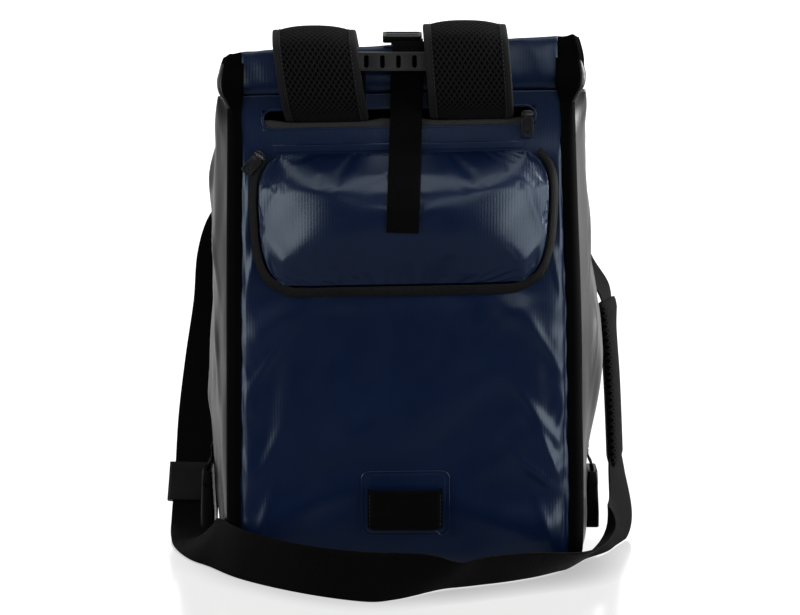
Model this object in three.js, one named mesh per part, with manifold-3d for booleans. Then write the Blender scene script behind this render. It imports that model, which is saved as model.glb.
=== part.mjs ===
// Roll-top rucksack in coated cloth, standing on its flat base.
// Millimetres; +Z is up, the front faces -Y, the origin is the middle of the base underside.
import * as THREE from 'three';
import { mergeVertices } from 'three/addons/utils/BufferGeometryUtils.js';
import startManifold from 'manifold-3d';

const manifold = await startManifold();
manifold.setup();

// Driving sizes
const clothThickness = 1.6;
const webbingThickness = 1.6;
const pieceGap = 0.35;
const bodyTop = 387.65;
const rollBottom = 388;
const clothSkew = 0.019;
const skewFullHeight = 220;
const tapeWidth = 11;
const slot = { left: -112, right: 103, low: 362, high: 376.5 };
const pocket = { middle: -0.8, low: 239, high: 342, rim: 10, topRim: 1.6, bulge: 31, band: 9 };
const patch = { x: 0.8, z: 57, width: 72, height: 55, corner: 6.5 };
const lightLoop = { x: 0.5, z: 53.2, width: 60, height: 33.5, rise: 8.6 };
const roll = {
  y: -61.5, halfDepth: 12.5, turns: 2, layer: 1.9, pitch: 2.6, left: -147, right: 142, square: 0.7,
};
const rollCloth = { left: -128.7, right: 120.7 };
const grip = { x: 1.5, z: 414.5, length: 104, height: 14.5, depth: 6.6, slots: 6, pitch: 12.6 };
const padWidth = 66;
const carryWidth = 40;
const tailWidth = 25;

const finishes = {
  navyCloth: { color: 0x14234a, roughness: 0.42, metalness: 0 },
  blackCloth: { color: 0x111213, roughness: 0.5, metalness: 0 },
  webbing: { color: 0x0b0b0c, roughness: 0.85, metalness: 0 },
  mesh: { color: 0x0d0d0e, roughness: 0.9, metalness: 0 },
  rubber: { color: 0x0c0c0d, roughness: 0.6, metalness: 0 },
  plastic: { color: 0x0e0f10, roughness: 0.45, metalness: 0 },
  darkMetal: { color: 0x1c1d20, roughness: 0.4, metalness: 0.8 },
};

const part = new THREE.Group();
part.name = 'rucksack';

const vec = (x, y, z) => new THREE.Vector3(x, y, z);
const mix = (a, b, t) => a + (b - a) * t;
const clamp01 = (t) => Math.min(1, Math.max(0, t));
const smooth = (a, b, t) => THREE.MathUtils.smoothstep(t, a, b);
const steps = (from, to, count) => Array.from({ length: count + 1 }, (_, i) => mix(from, to, i / count));

// Mesh helpers
function addGeometry(name, finish, geometry) {
  const mesh = new THREE.Mesh(geometry, new THREE.MeshStandardMaterial(finishes[finish]));
  mesh.name = name;
  part.add(mesh);
  return mesh;
}

// Turns every face the outward way by the sign of the enclosed volume.
function closedGeometry(points, faces) {
  const cross = vec(0, 0, 0);
  let volume = 0;
  for (const [a, b, c] of faces) {
    cross.crossVectors(points[b], points[c]);
    volume += points[a].dot(cross);
  }
  const turned = volume < 0 ? faces.map(([a, b, c]) => [a, c, b]) : faces;
  const geometry = new THREE.BufferGeometry();
  const flat = points.flatMap((p) => [p.x, p.y, p.z]);
  geometry.setAttribute('position', new THREE.Float32BufferAttribute(flat, 3));
  geometry.setIndex(turned.flat());
  geometry.computeVertexNormals();
  return geometry;
}

// A cloth sheet of even thickness on surface(u, v); cells that keep() refuses are left open.
function thickSheet(us, vs, surface, thickness, lift = 0, keep = () => true) {
  const columns = us.length;
  const points = [];
  const step = 1e-3;
  const normalAt = (u, v) => {
    const along = surface(u + step, v).sub(surface(u - step, v));
    const up = surface(u, v + step).sub(surface(u, v - step));
    return along.cross(up).normalize();
  };
  const layers = [lift, lift - thickness];
  for (const height of layers) {
    for (const v of vs) {
      for (const u of us) {
        points.push(surface(u, v).addScaledVector(normalAt(u, v), height));
      }
    }
  }
  const layerSize = columns * vs.length;
  const faces = [];
  const kept = (i, j) => i >= 0 && j >= 0 && i < columns - 1 && j < vs.length - 1
    && keep((us[i] + us[i + 1]) / 2, (vs[j] + vs[j + 1]) / 2);
  const wall = (a, b) => {
    faces.push([b, a, a + layerSize]);
    faces.push([b, a + layerSize, b + layerSize]);
  };
  for (let j = 0; j < vs.length - 1; j += 1) {
    for (let i = 0; i < columns - 1; i += 1) {
      if (!kept(i, j)) continue;
      const a = j * columns + i;
      const b = a + 1;
      const c = b + columns;
      const d = a + columns;
      faces.push([a, b, c], [a, c, d]);
      faces.push([a + layerSize, c + layerSize, b + layerSize]);
      faces.push([a + layerSize, d + layerSize, c + layerSize]);
      if (!kept(i, j - 1)) wall(a, b);
      if (!kept(i + 1, j)) wall(b, c);
      if (!kept(i, j + 1)) wall(c, d);
      if (!kept(i - 1, j)) wall(d, a);
    }
  }
  const used = new Map();
  const tidyPoints = [];
  const tidyFaces = faces.map((face) => face.map((index) => {
    if (!used.has(index)) {
      used.set(index, tidyPoints.length);
      tidyPoints.push(points[index]);
    }
    return used.get(index);
  }));
  return closedGeometry(tidyPoints, tidyFaces);
}

// Triangles of one flat ring, wound the way the ring runs.
function capFaces(ring) {
  const normal = vec(0, 0, 0);
  ring.forEach((p, i) => {
    normal.add(p.clone().cross(ring[(i + 1) % ring.length]));
  });
  normal.normalize();
  const side = Math.abs(normal.z) > 0.8 ? vec(1, 0, 0) : vec(0, 0, 1);
  const e1 = side.cross(normal).normalize();
  const e2 = normal.clone().cross(e1);
  const flat = ring.map((p) => new THREE.Vector2(p.dot(e1), p.dot(e2)));
  return THREE.ShapeUtils.triangulateShape(flat, []).map(([a, b, c]) => {
    const turn = flat[b].clone().sub(flat[a]).cross(flat[c].clone().sub(flat[a]));
    return turn > 0 ? [a, b, c] : [a, c, b];
  });
}

// A solid through equal rings of points, closed with flat ends. The second half of each ring is cut along
// the other diagonal, so that both faces of a thin twisted strap are cut the same way.
function loft(rings) {
  const size = rings[0].length;
  const points = rings.flat();
  const faces = [];
  for (let k = 0; k < rings.length - 1; k += 1) {
    for (let i = 0; i < size; i += 1) {
      const a = k * size + i;
      const b = k * size + (i + 1) % size;
      if (i < size / 2) faces.push([a, b, b + size], [a, b + size, a + size]);
      else faces.push([a, b, a + size], [b, b + size, a + size]);
    }
  }
  const last = (rings.length - 1) * size;
  capFaces(rings[0]).forEach(([a, b, c]) => faces.push([a, c, b]));
  capFaces(rings[rings.length - 1]).forEach(([a, b, c]) => faces.push([a + last, b + last, c + last]));
  return closedGeometry(points, faces);
}

// A sleeve with a through hole: matching outer and inner rings.
function sleeve(outerRings, innerRings) {
  const size = outerRings[0].length;
  const count = outerRings.length;
  const points = [...outerRings.flat(), ...innerRings.flat()];
  const inner = size * count;
  const faces = [];
  const quad = (a, b, c, d) => faces.push([a, b, c], [a, c, d]);
  for (let i = 0; i < size; i += 1) {
    const n = (i + 1) % size;
    for (let k = 0; k < count - 1; k += 1) {
      const low = k * size;
      const high = low + size;
      if (i < size / 2) {
        quad(low + i, low + n, high + n, high + i);
        quad(inner + low + i, inner + high + i, inner + high + n, inner + low + n);
      } else {
        quad(low + n, high + n, high + i, low + i);
        quad(inner + low + n, inner + low + i, inner + high + i, inner + high + n);
      }
    }
    const end = (count - 1) * size;
    quad(n, i, inner + i, inner + n);
    quad(end + i, end + n, inner + end + n, inner + end + i);
  }
  return closedGeometry(points, faces);
}

// Smooth curve through the rows of a table, t from 0 to 1 over all rows.
function curveRow(rows, t) {
  const place = clamp01(t) * (rows.length - 1);
  const k = Math.min(rows.length - 2, Math.floor(place));
  const f = place - k;
  const row = (i) => rows[Math.min(rows.length - 1, Math.max(0, i))];
  return rows[k].map((_, c) => {
    const [a, b, d, e] = [row(k - 1)[c], row(k)[c], row(k + 1)[c], row(k + 2)[c]];
    const bend = 2 * a - 5 * b + 4 * d - e;
    const turn = 3 * b - a - 3 * d + e;
    return b + 0.5 * f * (d - a + f * (bend + f * turn));
  });
}

// Value of each column at height z in a table whose first column is z.
function tableRow(rows, z) {
  const last = rows.length - 1;
  if (z <= rows[0][0]) return rows[0];
  if (z >= rows[last][0]) return rows[last];
  const k = rows.findIndex((row, i) => i < last && z < rows[i + 1][0]);
  const slope = (i, c) => {
    const low = rows[Math.max(0, i - 1)];
    const high = rows[Math.min(last, i + 1)];
    return (high[c] - low[c]) / (high[0] - low[0]);
  };
  const span = rows[k + 1][0] - rows[k][0];
  const t = (z - rows[k][0]) / span;
  return rows[k].map((_, c) => {
    const rise = rows[k + 1][c] - rows[k][c];
    const start = slope(k, c) * span;
    const end = slope(k + 1, c) * span;
    return rows[k][c] + t * (start + t * (3 * rise - 2 * start - end + t * (start + end - 2 * rise)));
  });
}

// Rectangular ring round a centre, across and through the strap.
function strapRing(centre, across, through, width, thickness, corner = 0) {
  const w = width / 2;
  const h = thickness / 2;
  const at = (a, b) => centre.clone().addScaledVector(across, a).addScaledVector(through, b);
  if (!corner) return [at(-w, -h), at(w, -h), at(w, h), at(-w, h)];
  const c = corner;
  return [
    at(-w + c, -h), at(w - c, -h), at(w, -h + c * 0.55), at(w, h - c * 0.55),
    at(w - c, h), at(-w + c, h), at(-w, h - c * 0.55), at(-w, -h + c * 0.55),
  ];
}

// Frames along a strap: rows give x, y, z and the way its width points.
function strapFrames(rows, ts) {
  return ts.map((t) => {
    const row = curveRow(rows, t);
    const ahead = curveRow(rows, Math.min(1, t + 0.002));
    const behind = curveRow(rows, Math.max(0, t - 0.002));
    const along = vec(ahead[0] - behind[0], ahead[1] - behind[1], ahead[2] - behind[2]).normalize();
    const across = vec(row[3], row[4], row[5]);
    across.addScaledVector(along, -across.dot(along)).normalize();
    return { centre: vec(row[0], row[1], row[2]), along, across, through: along.clone().cross(across) };
  });
}

function strap(frames, width, thickness) {
  return loft(frames.map((f) => strapRing(f.centre, f.across, f.through, width, thickness)));
}

// Solid work for the small hard pieces
function toSolid(geometry) {
  const bare = geometry.clone();
  bare.deleteAttribute('normal');
  bare.deleteAttribute('uv');
  const merged = mergeVertices(bare, 1e-4);
  const vertProperties = new Float32Array(merged.attributes.position.array);
  const triVerts = new Uint32Array(merged.index.array);
  return new manifold.Manifold(new manifold.Mesh({ numProp: 3, vertProperties, triVerts }));
}

function fromSolid(solid) {
  const mesh = solid.getMesh();
  const geometry = new THREE.BufferGeometry();
  geometry.setAttribute('position', new THREE.BufferAttribute(new Float32Array(mesh.vertProperties), 3));
  geometry.setIndex(new THREE.BufferAttribute(new Uint32Array(mesh.triVerts), 1));
  geometry.computeVertexNormals();
  return geometry;
}

function joined(...geometries) {
  return fromSolid(geometries.map(toSolid).reduce((a, b) => a.add(b)));
}

function roundedShape(width, height, corner, segments = 3) {
  const shape = new THREE.Shape();
  const corners = [[1, -1, -90], [1, 1, 0], [-1, 1, 90], [-1, -1, 180]];
  const points = corners.flatMap(([sx, sy, start]) => steps(0, 90, segments).map((turn) => {
    const angle = THREE.MathUtils.degToRad(start + turn);
    const x = sx * (width / 2 - corner) + corner * Math.cos(angle);
    const y = sy * (height / 2 - corner) + corner * Math.sin(angle);
    return new THREE.Vector2(x, y);
  }));
  shape.setFromPoints(points);
  return shape;
}

function plate(shape, thickness, curveSegments = 6) {
  const settings = { depth: thickness, bevelEnabled: false, curveSegments, steps: 1 };
  return new THREE.ExtrudeGeometry(shape, settings);
}

function place(geometry, turns, shift) {
  const matrix = new THREE.Matrix4().makeRotationFromEuler(new THREE.Euler(...turns));
  matrix.setPosition(shift);
  return geometry.applyMatrix4(matrix);
}

// Bag body: sections by height.
// z, half width, sideways shift, front y, back y, left bulge, right bulge, front bulge, corner radius
const bodySections = [
  [0.6, 136, 0.7, -68, 68, 9, 6, 0, 11],
  [5, 141, 0.7, -73, 73, 10, 7, 1, 11],
  [16, 144, 0.7, -75, 75, 11, 7, 2, 10],
  [75, 144, 0.5, -75, 76, 16, 8.5, 6, 9],
  [125, 143, 0, -75, 77, 18, 17, 8, 9],
  [188, 142, -0.3, -75, 76, 18, 21, 8, 9],
  [230, 141, -0.8, -75, 73, 18, 17, 7, 9],
  [295, 139, -1.8, -74, 58, 17, 13, 5, 8],
  [345, 137.5, -2.4, -72.5, 22, 14, 12, 3, 7],
  [372, 136.8, -2.7, -70.5, -22, 12, 12, 1, 5],
  [bodyTop, 136.6, -2.8, -69.5, -50.5, 9, 10, 0.3, 3.5],
];

// Soft folds of the front panel: x, z, direction in degrees, half length, half width, height
const frontFolds = [
  [-95, 215, 38, 60, 13, 3.2],
  [98, 205, 142, 62, 13, 3.4],
  [50, 150, 40, 75, 15, 2.4],
  [-40, 120, 40, 70, 16, 2],
  [85, 105, 50, 55, 14, 2.4],
  [-112, 120, 82, 60, 9, -2.4],
  [118, 150, 98, 60, 9, -2.2],
  [-70, 60, 20, 50, 12, 1.8],
  [70, 45, 160, 50, 12, 1.8],
  [-70, 225, 0, 60, 10, -2],
  [75, 228, 0, 55, 10, -2],
];

// Soft folds of the side panels: side (-1 left, 1 right), place along the depth, z, half heights, depth
const sideFolds = [
  [-1, 0.45, 250, 0.14, 60, -4],
  [-1, 0.3, 90, 0.12, 45, -3.5],
  [-1, 0.6, 160, 0.16, 40, 2.5],
  [1, 0.5, 95, 0.16, 30, -4],
  [1, 0.4, 140, 0.14, 30, 3],
  [1, 0.5, 280, 0.15, 60, -4],
];

function frontFold(x, z) {
  return frontFolds.reduce((sum, [fx, fz, direction, length, width, height]) => {
    const angle = THREE.MathUtils.degToRad(direction);
    const along = (x - fx) * Math.cos(angle) + (z - fz) * Math.sin(angle);
    const across = (z - fz) * Math.cos(angle) - (x - fx) * Math.sin(angle);
    return sum + height * Math.exp(-((along / length) ** 2) - (across / width) ** 2);
  }, 0);
}

function sideFold(side, t, z) {
  return sideFolds.reduce((sum, [which, ft, fz, width, tall, height]) => {
    const share = Math.exp(-(((t - ft) / width) ** 2) - ((z - fz) / tall) ** 2);
    return sum + (which === side ? height * share : 0);
  }, 0);
}

const skewed = (x, z) => z + x * clothSkew * smooth(0, skewFullHeight, z);

// Point of the outer cloth. Round the bag, p runs -1..1 over the front, 2..3 over the right side,
// 4..6 over the back and 7..8 over the left side; the corners lie between.
function skin(p, z) {
  const [, half, shift, front, back, bulgeLeft, bulgeRight, bulgeFront, radius] = tableRow(bodySections, z);
  const inner = half - radius;
  const q = (((p + 2) % 10) + 10) % 10 - 2;
  const quarter = (t) => (t * Math.PI) / 2;
  const fade = smooth(2, 30, z) * (1 - smooth(340, 380, z));
  let x = 0;
  let y = 0;
  if (q < -1) {
    x = -inner - radius * Math.cos(quarter(q + 2));
    y = front + radius - radius * Math.sin(quarter(q + 2));
  } else if (q <= 1) {
    x = q * inner;
    y = front - bulgeFront * (1 - q * q) - fade * (1 - q ** 8) * frontFold(x, z);
  } else if (q < 2) {
    x = inner + radius * Math.sin(quarter(q - 1));
    y = front + radius - radius * Math.cos(quarter(q - 1));
  } else if (q <= 3) {
    const t = q - 2;
    y = mix(front + radius, back - radius, t);
    x = half + Math.sin(Math.PI * t) * (bulgeRight + fade * sideFold(1, t, z));
  } else if (q < 4) {
    x = inner + radius * Math.cos(quarter(q - 3));
    y = back - radius + radius * Math.sin(quarter(q - 3));
  } else if (q <= 6) {
    const s = 5 - q;
    x = s * inner;
    y = back + 0.6 * bulgeFront * (1 - s * s);
  } else if (q < 7) {
    x = -inner - radius * Math.sin(quarter(q - 6));
    y = back - radius + radius * Math.cos(quarter(q - 6));
  } else {
    const t = q - 7;
    y = mix(back - radius, front + radius, t);
    x = -half - Math.sin(Math.PI * t) * (bulgeLeft + fade * sideFold(-1, 1 - t, z));
  }
  return vec(x + shift, y, skewed(x + shift, z));
}

// Place along p of a point x of the front, and the front and back cloth at x, z.
function frontPlace(x, z) {
  const [, half, shift, , , , , , radius] = tableRow(bodySections, z);
  return (x - shift) / (half - radius);
}
const frontAt = (x, z) => skin(frontPlace(x, z), z);
const backAt = (x, z) => skin(5 - frontPlace(x, z), z);

const slotMiddle = (slot.low + slot.high) / 2;
const slotPlace = { left: frontPlace(slot.left, slotMiddle), right: frontPlace(slot.right, slotMiddle) };
const seamPlace = 0.03;
const bodyHeights = [
  0.6, 4, 12, 34, 62, 90, 118, 146, 174, 202, 230, 262, 296, 330, slot.low, slot.high, bodyTop,
];
const cornerSteps = (from) => [from + 0.25, from + 0.5 - seamPlace];
const inSlot = (p, z) => p > slotPlace.left && p < slotPlace.right && z > slot.low && z < slot.high;

const frontPlaces = [
  -1.5 + seamPlace, -1.25, -1, -0.92,
  ...steps(slotPlace.left, slotPlace.right, 13),
  0.91, 1, ...cornerSteps(1),
];
addGeometry('front_panel', 'navyCloth', thickSheet(
  frontPlaces, bodyHeights, skin, clothThickness, 0, (p, z) => !inSlot(p, z),
));
const sideSteps = [0, 0.22, 0.41, 0.59, 0.78, 1];
const sidePlaces = (from) => [
  from - 0.5 + seamPlace, from - 0.25, ...sideSteps.map((t) => from + t), ...cornerSteps(from + 1),
];
addGeometry('side_panel_right', 'blackCloth', thickSheet(sidePlaces(2), bodyHeights, skin, clothThickness));
addGeometry('side_panel_left', 'blackCloth', thickSheet(sidePlaces(7), bodyHeights, skin, clothThickness));
addGeometry('back_panel', 'navyCloth', thickSheet(
  [3.5 + seamPlace, 3.75, ...steps(4, 6, 6), ...cornerSteps(6)], bodyHeights, skin, clothThickness,
));

// Base: a flat plate inside the lower edge of the panels.
const baseInset = 2;
const basePlaces = [
  ...steps(-1, 1, 6), 1.5, ...steps(2, 3, 4), 3.5, ...steps(4, 6, 6), 6.5, ...steps(7, 7.95, 4), 8.5,
];
const baseRing = (z) => basePlaces.map((p) => {
  const point = skin(p, bodySections[0][0]);
  return vec(point.x - baseInset * Math.sign(point.x), point.y - baseInset * Math.sign(point.y), z);
});
addGeometry('base_panel', 'blackCloth', loft([baseRing(0), baseRing(clothThickness)]));

// Seam tapes over the two front corners.
function tapeSurface(side) {
  return (u, z) => {
    const [, half, , , , , , , radius] = tableRow(bodySections, z);
    const start = (half - tapeWidth) / (half - radius);
    const p = u < 0 ? mix(start, 1, u + 1) : 1 + u;
    return skin(side > 0 ? p : -p, z);
  };
}
const tapePlaces = [-1, 0, 0.25, 0.5, 0.75, 0.93];
const tapeLift = 0.9;
const tapeHeights = [...bodyHeights.slice(2, -1), bodyTop - 0.4];
addGeometry('seam_tape_right', 'blackCloth', thickSheet(
  tapePlaces, tapeHeights, tapeSurface(1), tapeLift, tapeLift + pieceGap,
));
const mirroredTape = tapeSurface(-1);
addGeometry('seam_tape_left', 'blackCloth', thickSheet(
  tapePlaces.map((u) => -u).reverse(), tapeHeights, (u, z) => mirroredTape(-u, z),
  tapeLift, tapeLift + pieceGap,
));

// Roll top: cloth wound round itself; its height grows from left to right.
const rollLow = (x) => skewed(x, rollBottom);
const rollHalfHeight = (x) => mix(17.3, 22.4, clamp01((x + 147) / 289));
function rollRing(x, shrink = 0) {
  const half = rollHalfHeight(x) - shrink;
  const middle = rollLow(x) + rollHalfHeight(x);
  const perTurn = 12;
  const count = roll.turns * perTurn;
  const side = (offset) => Array.from({ length: count + 1 }, (_, i) => {
    const angle = -1.62 - (2 * Math.PI * i) / perTurn;
    const inward = (roll.pitch * i) / perTurn + offset;
    const boxed = (t) => Math.sign(t) * Math.abs(t) ** roll.square;
    const sag = 0.8 * Math.sin(x * 0.045) * Math.max(0, Math.sin(angle));
    const y = roll.y + (roll.halfDepth - shrink - inward) * boxed(Math.cos(angle));
    return vec(x, y, middle + (half - inward) * boxed(Math.sin(angle)) + sag);
  });
  return [...side(0), ...side(roll.layer).reverse()];
}
addGeometry('roll_top', 'navyCloth', loft(
  steps(rollCloth.left, rollCloth.right, 5).map((x) => rollRing(x)),
));
addGeometry('roll_end_left', 'blackCloth', loft([
  rollRing(roll.left, 2.5), rollRing(roll.left + 4, 0), rollRing(rollCloth.left - pieceGap, 0),
]));
addGeometry('roll_end_right', 'blackCloth', loft([
  rollRing(rollCloth.right + pieceGap, 0), rollRing(roll.right - 4, 0), rollRing(roll.right, 2.5),
]));

// Stow slot: zip tape along its lower lip.
const zipTapeHigh = 366.2;
const tapeStart = frontPlace(slot.left + pieceGap, slotMiddle) + 0.001;
const tapeEnd = frontPlace(slot.right - pieceGap, slotMiddle) - 0.001;
addGeometry('slot_zip_tape', 'webbing', thickSheet(
  steps(tapeStart, tapeEnd, 13), [slot.low + pieceGap, zipTapeHigh], skin, 1.2, -0.2,
));

// Pocket: a shell on the front, hipped like a pillow. Share of its height, half width
const pocketOutline = [
  [0, 95],
  [0.07, 103],
  [0.16, 108.5],
  [0.32, 112.5],
  [0.5, 114],
  [0.68, 114.5],
  [0.84, 112.5],
  [0.94, 106],
  [1, 97],
];
const pocketRun = { side: 58, low: 46, high: 22, blend: 4 };
const pocketHeight = (v) => mix(pocket.low, pocket.high, v);
const pocketRim = (v) => mix(pocket.rim, pocket.topRim, smooth(0.72, 1, v));
function pocketPoint(u, v) {
  const [, half] = tableRow(pocketOutline, clamp01(v));
  const x = pocket.middle + u * half;
  const z = mix(pocket.low, pocket.high, v);
  const tall = pocket.high - pocket.low;
  const slopes = [
    ((1 - Math.abs(u)) * half) / pocketRun.side,
    (v * tall) / pocketRun.low,
    ((1 - v) * tall) / pocketRun.high,
    1,
  ];
  const blended = slopes.reduce((sum, s) => sum + Math.max(s, 1e-4) ** -pocketRun.blend, 0);
  const rise = blended ** (-1 / pocketRun.blend);
  const base = frontAt(x, z);
  return vec(base.x, base.y - pocketRim(v) - pocket.bulge * rise, base.z);
}
const pocketShares = [0, 0.04, 0.1, 0.19, 0.32, 0.48, 0.64, 0.78, 0.88, 0.95, 1];
const pocketPlaces = [-1, -0.95, -0.86, -0.72, -0.5, -0.25, 0, 0.25, 0.5, 0.72, 0.86, 0.95, 1];
addGeometry('pocket_shell', 'navyCloth', thickSheet(pocketPlaces, pocketShares, pocketPoint, 1.5));

// Zip band of the pocket: slopes from the front cloth up to the shell on left, bottom and right.
const bandPath = [
  ...steps(0.86, 0.06, 9).map((v) => [-1, v]),
  ...steps(-0.96, 0.96, 12).map((u) => [u, 0]),
  ...steps(0.06, 0.93, 9).map((v) => [1, v]),
];
function bandRing([u, v], i) {
  const at = (k) => {
    const [pu, pv] = bandPath[Math.min(bandPath.length - 1, Math.max(0, k))];
    return vec(pocket.middle + pu * tableRow(pocketOutline, pv)[1], 0, pocketHeight(pv));
  };
  const along = at(i + 1).sub(at(i - 1)).normalize();
  const out = vec(along.z, 0, -along.x);
  const rim = pocketRim(v);
  const width = pocket.band * mix(0.55, 1, rim / pocket.rim) * mix(0.72, 1, Math.abs(along.x));
  const here = at(i);
  const foot = (reach, height) => {
    const place = here.clone().addScaledVector(out, reach);
    const cloth = frontAt(place.x, place.z);
    return vec(cloth.x, cloth.y - height, cloth.z);
  };
  const start = 1.9;
  const low = 1.6;
  const high = Math.max(3.2, rim - 1);
  return [foot(start, low), foot(start + width, low), foot(start + width, low + 1.4), foot(start, high)];
}
addGeometry('pocket_zip_band', 'webbing', loft(bandPath.map(bandRing)));

// Welded strip above the pocket.
const stripEnds = [frontPlace(-97, 346), frontPlace(95, 346)];
addGeometry('pocket_top_strip', 'navyCloth', thickSheet(
  steps(stripEnds[0], stripEnds[1], 14), [pocket.high + 1.5, pocket.high + 7.5], skin, 0.7, 0.7 + pieceGap,
));

// Light holder: welded patch and the loop for a clip.
const patchShares = [-1, -0.93, -0.35, 0.35, 0.93, 1];
const patchRows = [-1, -0.9, 0, 0.9, 1];
function patchPoint(u, v) {
  const cut = patch.corner * Math.max(0, (Math.abs(v) - 0.9) / 0.1);
  return frontAt(patch.x + u * (patch.width / 2 - cut), patch.z + v * (patch.height / 2));
}
addGeometry('light_patch', 'navyCloth', thickSheet(
  patchShares, patchRows, patchPoint, 0.6, 0.6 + 2 * pieceGap,
));
const loopShares = [-1, -0.94, -0.86, -0.6, -0.2, 0.2, 0.6, 0.86, 0.94, 1];
const loopRise = (u) => mix(3.3, lightLoop.rise + 1.8, smooth(0, 0.16, 1 - Math.abs(u)));
function loopPoint(u, v) {
  const base = frontAt(lightLoop.x + (u * lightLoop.width) / 2, lightLoop.z + (v * lightLoop.height) / 2);
  return vec(base.x, base.y - loopRise(u), base.z);
}
addGeometry('light_loop', 'webbing', thickSheet(loopShares, [-1, 0, 1], loopPoint, webbingThickness));

// Shoulder straps: from inside the slot, over the roll and down behind. y, z, half width share, thickness
const slotFront = frontAt(0, 371).y;
const backLift = 7.6;
const behind = (z) => {
  const here = backAt(50, z);
  const next = backAt(50, z + 2);
  const lean = Math.hypot(next.y - here.y, 2);
  return [here.y + (backLift * 2) / lean, z - (backLift * (next.y - here.y)) / lean];
};
const padPath = [
  [slotFront + 17, 338, 0.92, 6],
  [slotFront + 15, 352, 0.94, 6],
  [slotFront + 9.5, 364.5, 0.97, 5],
  [slotFront - 2.5, 371.6, 1, 4.8],
  [slotFront - 13.5, 379, 1, 7.5],
  [slotFront - 22, 390, 1, 9],
  [slotFront - 24.5, 403, 1, 9],
  [slotFront - 23.5, 416, 1, 9],
  [slotFront - 16.5, 428, 1, 9],
  [-70, 435.5, 1, 9],
  [-56, 437.5, 1, 9],
  [-41, 432, 1, 9],
  [-28, 416, 1, 9],
  [-16, 394, 1, 9],
  [...behind(370), 1, 9],
  [...behind(358), 1, 9],
  [...behind(345), 1, 9],
  [...behind(332), 1, 9],
  [...behind(318), 1, 9],
  [...behind(285), 1, 9],
  [...behind(245), 1, 9],
  [...behind(205), 1, 9],
  [...behind(165), 0.92, 9],
  [...behind(140), 0.62, 7],
];
const padMiddles = { left: -61.5, right: 53 };
const padLeans = { left: -0.15, right: -0.085 };
const padRises = { left: 0, right: 2 };
function padFrames(side) {
  const middle = padMiddles[side];
  return steps(0, 1, 32).map((t) => {
    const [y, z, share, thickness] = curveRow(padPath, t);
    const ahead = curveRow(padPath, Math.min(1, t + 0.003));
    const before = curveRow(padPath, Math.max(0, t - 0.003));
    const along = vec(0, ahead[0] - before[0], ahead[1] - before[1]).normalize();
    const lean = padLeans[side] * Math.max(0, Math.min(z, 446) - 371) * (t < 0.6 ? 1 : 0.6);
    const rise = padRises[side] * clamp01((z - 405) / 25);
    const centre = vec(middle + lean, y, skewed(middle, z) + rise);
    return { centre, across: vec(1, 0, 0), through: along.cross(vec(1, 0, 0)), share, thickness };
  });
}
function pad(side) {
  return loft(padFrames(side).map((f) => (
    strapRing(f.centre, f.across, f.through, padWidth * f.share, f.thickness, 3)
  )));
}
for (const [side, middle] of Object.entries(padMiddles)) {
  addGeometry(`shoulder_pad_${side}`, 'mesh', pad(side));
  const tailX = middle;
  const padEnd = behind(140);
  const tailTop = padEnd[1] + skewed(middle, 140) - 140 - 1;
  const tailRows = [
    [tailX, padEnd[0], tailTop, 1, 0, 0],
    [tailX, padEnd[0] + 1, tailTop - 30, 1, 0, 0],
    [tailX, padEnd[0] + 1, 58, 1, 0, 0],
  ];
  const tail = strap(strapFrames(tailRows, steps(0, 1, 6)), tailWidth, webbingThickness);
  addGeometry(`shoulder_tail_${side}`, 'webbing', tail);
  const clip = new THREE.Shape();
  const half = 15.5;
  [[-half, 14], [half, 14], [half, -2], [9, -4], [11.5, -24], [6, -30], [2.4, -12], [-2.4, -12], [-6, -30],
    [-11.5, -24], [-9, -4], [-half, -2]].forEach(([x, z], i) => {
    if (i === 0) clip.moveTo(x, z);
    else clip.lineTo(x, z);
  });
  const clipGeometry = plate(clip, 5);
  place(clipGeometry, [Math.PI / 2, 0, 0], vec(tailX, padEnd[0] + 3.5, 43.4));
  addGeometry(`shoulder_clip_${side}`, 'plastic', clipGeometry);
}

// Carrying handle: moulded grip with slots, a webbing tab behind each end.
const gripBack = roll.y - roll.halfDepth - 3.4;
const gripShape = roundedShape(grip.length, grip.height, 6, 4);
for (let i = 0; i < grip.slots; i += 1) {
  const middle = (i - (grip.slots - 1) / 2) * grip.pitch;
  const hole = roundedShape(3.7, 10.4, 1.8, 2).getPoints().map((p) => new THREE.Vector2(p.x + middle, p.y));
  gripShape.holes.push(new THREE.Path().setFromPoints(hole.reverse()));
}
const gripGeometry = plate(gripShape, grip.depth);
place(gripGeometry, [Math.PI / 2, 0, 0], vec(grip.x, gripBack, grip.z));
addGeometry('handle_grip', 'rubber', gripGeometry);
for (const [side, sign] of [['left', -1], ['right', 1]]) {
  const x = grip.x + sign * (grip.length / 2 - 11);
  const low = frontAt(x, 378.5);
  const rows = [
    [x, low.y - 1.5, low.z, 1, 0, 0],
    [x, low.y - 3.4, low.z + 5.5, 1, 0, 0],
    [x, gripBack + 1.9, low.z + 12.5, 1, 0, 0],
    [x, gripBack + 1.4, low.z + 22, 1, 0, 0],
    [x, gripBack + 1.25, low.z + 31, 1, 0, 0],
    [x, gripBack + 1.25, grip.z + 6, 1, 0, 0],
  ];
  const tab = strap(strapFrames(rows, steps(0, 1, 10)), 18, webbingThickness);
  addGeometry(`handle_tab_${side}`, 'webbing', tab);
}

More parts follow.
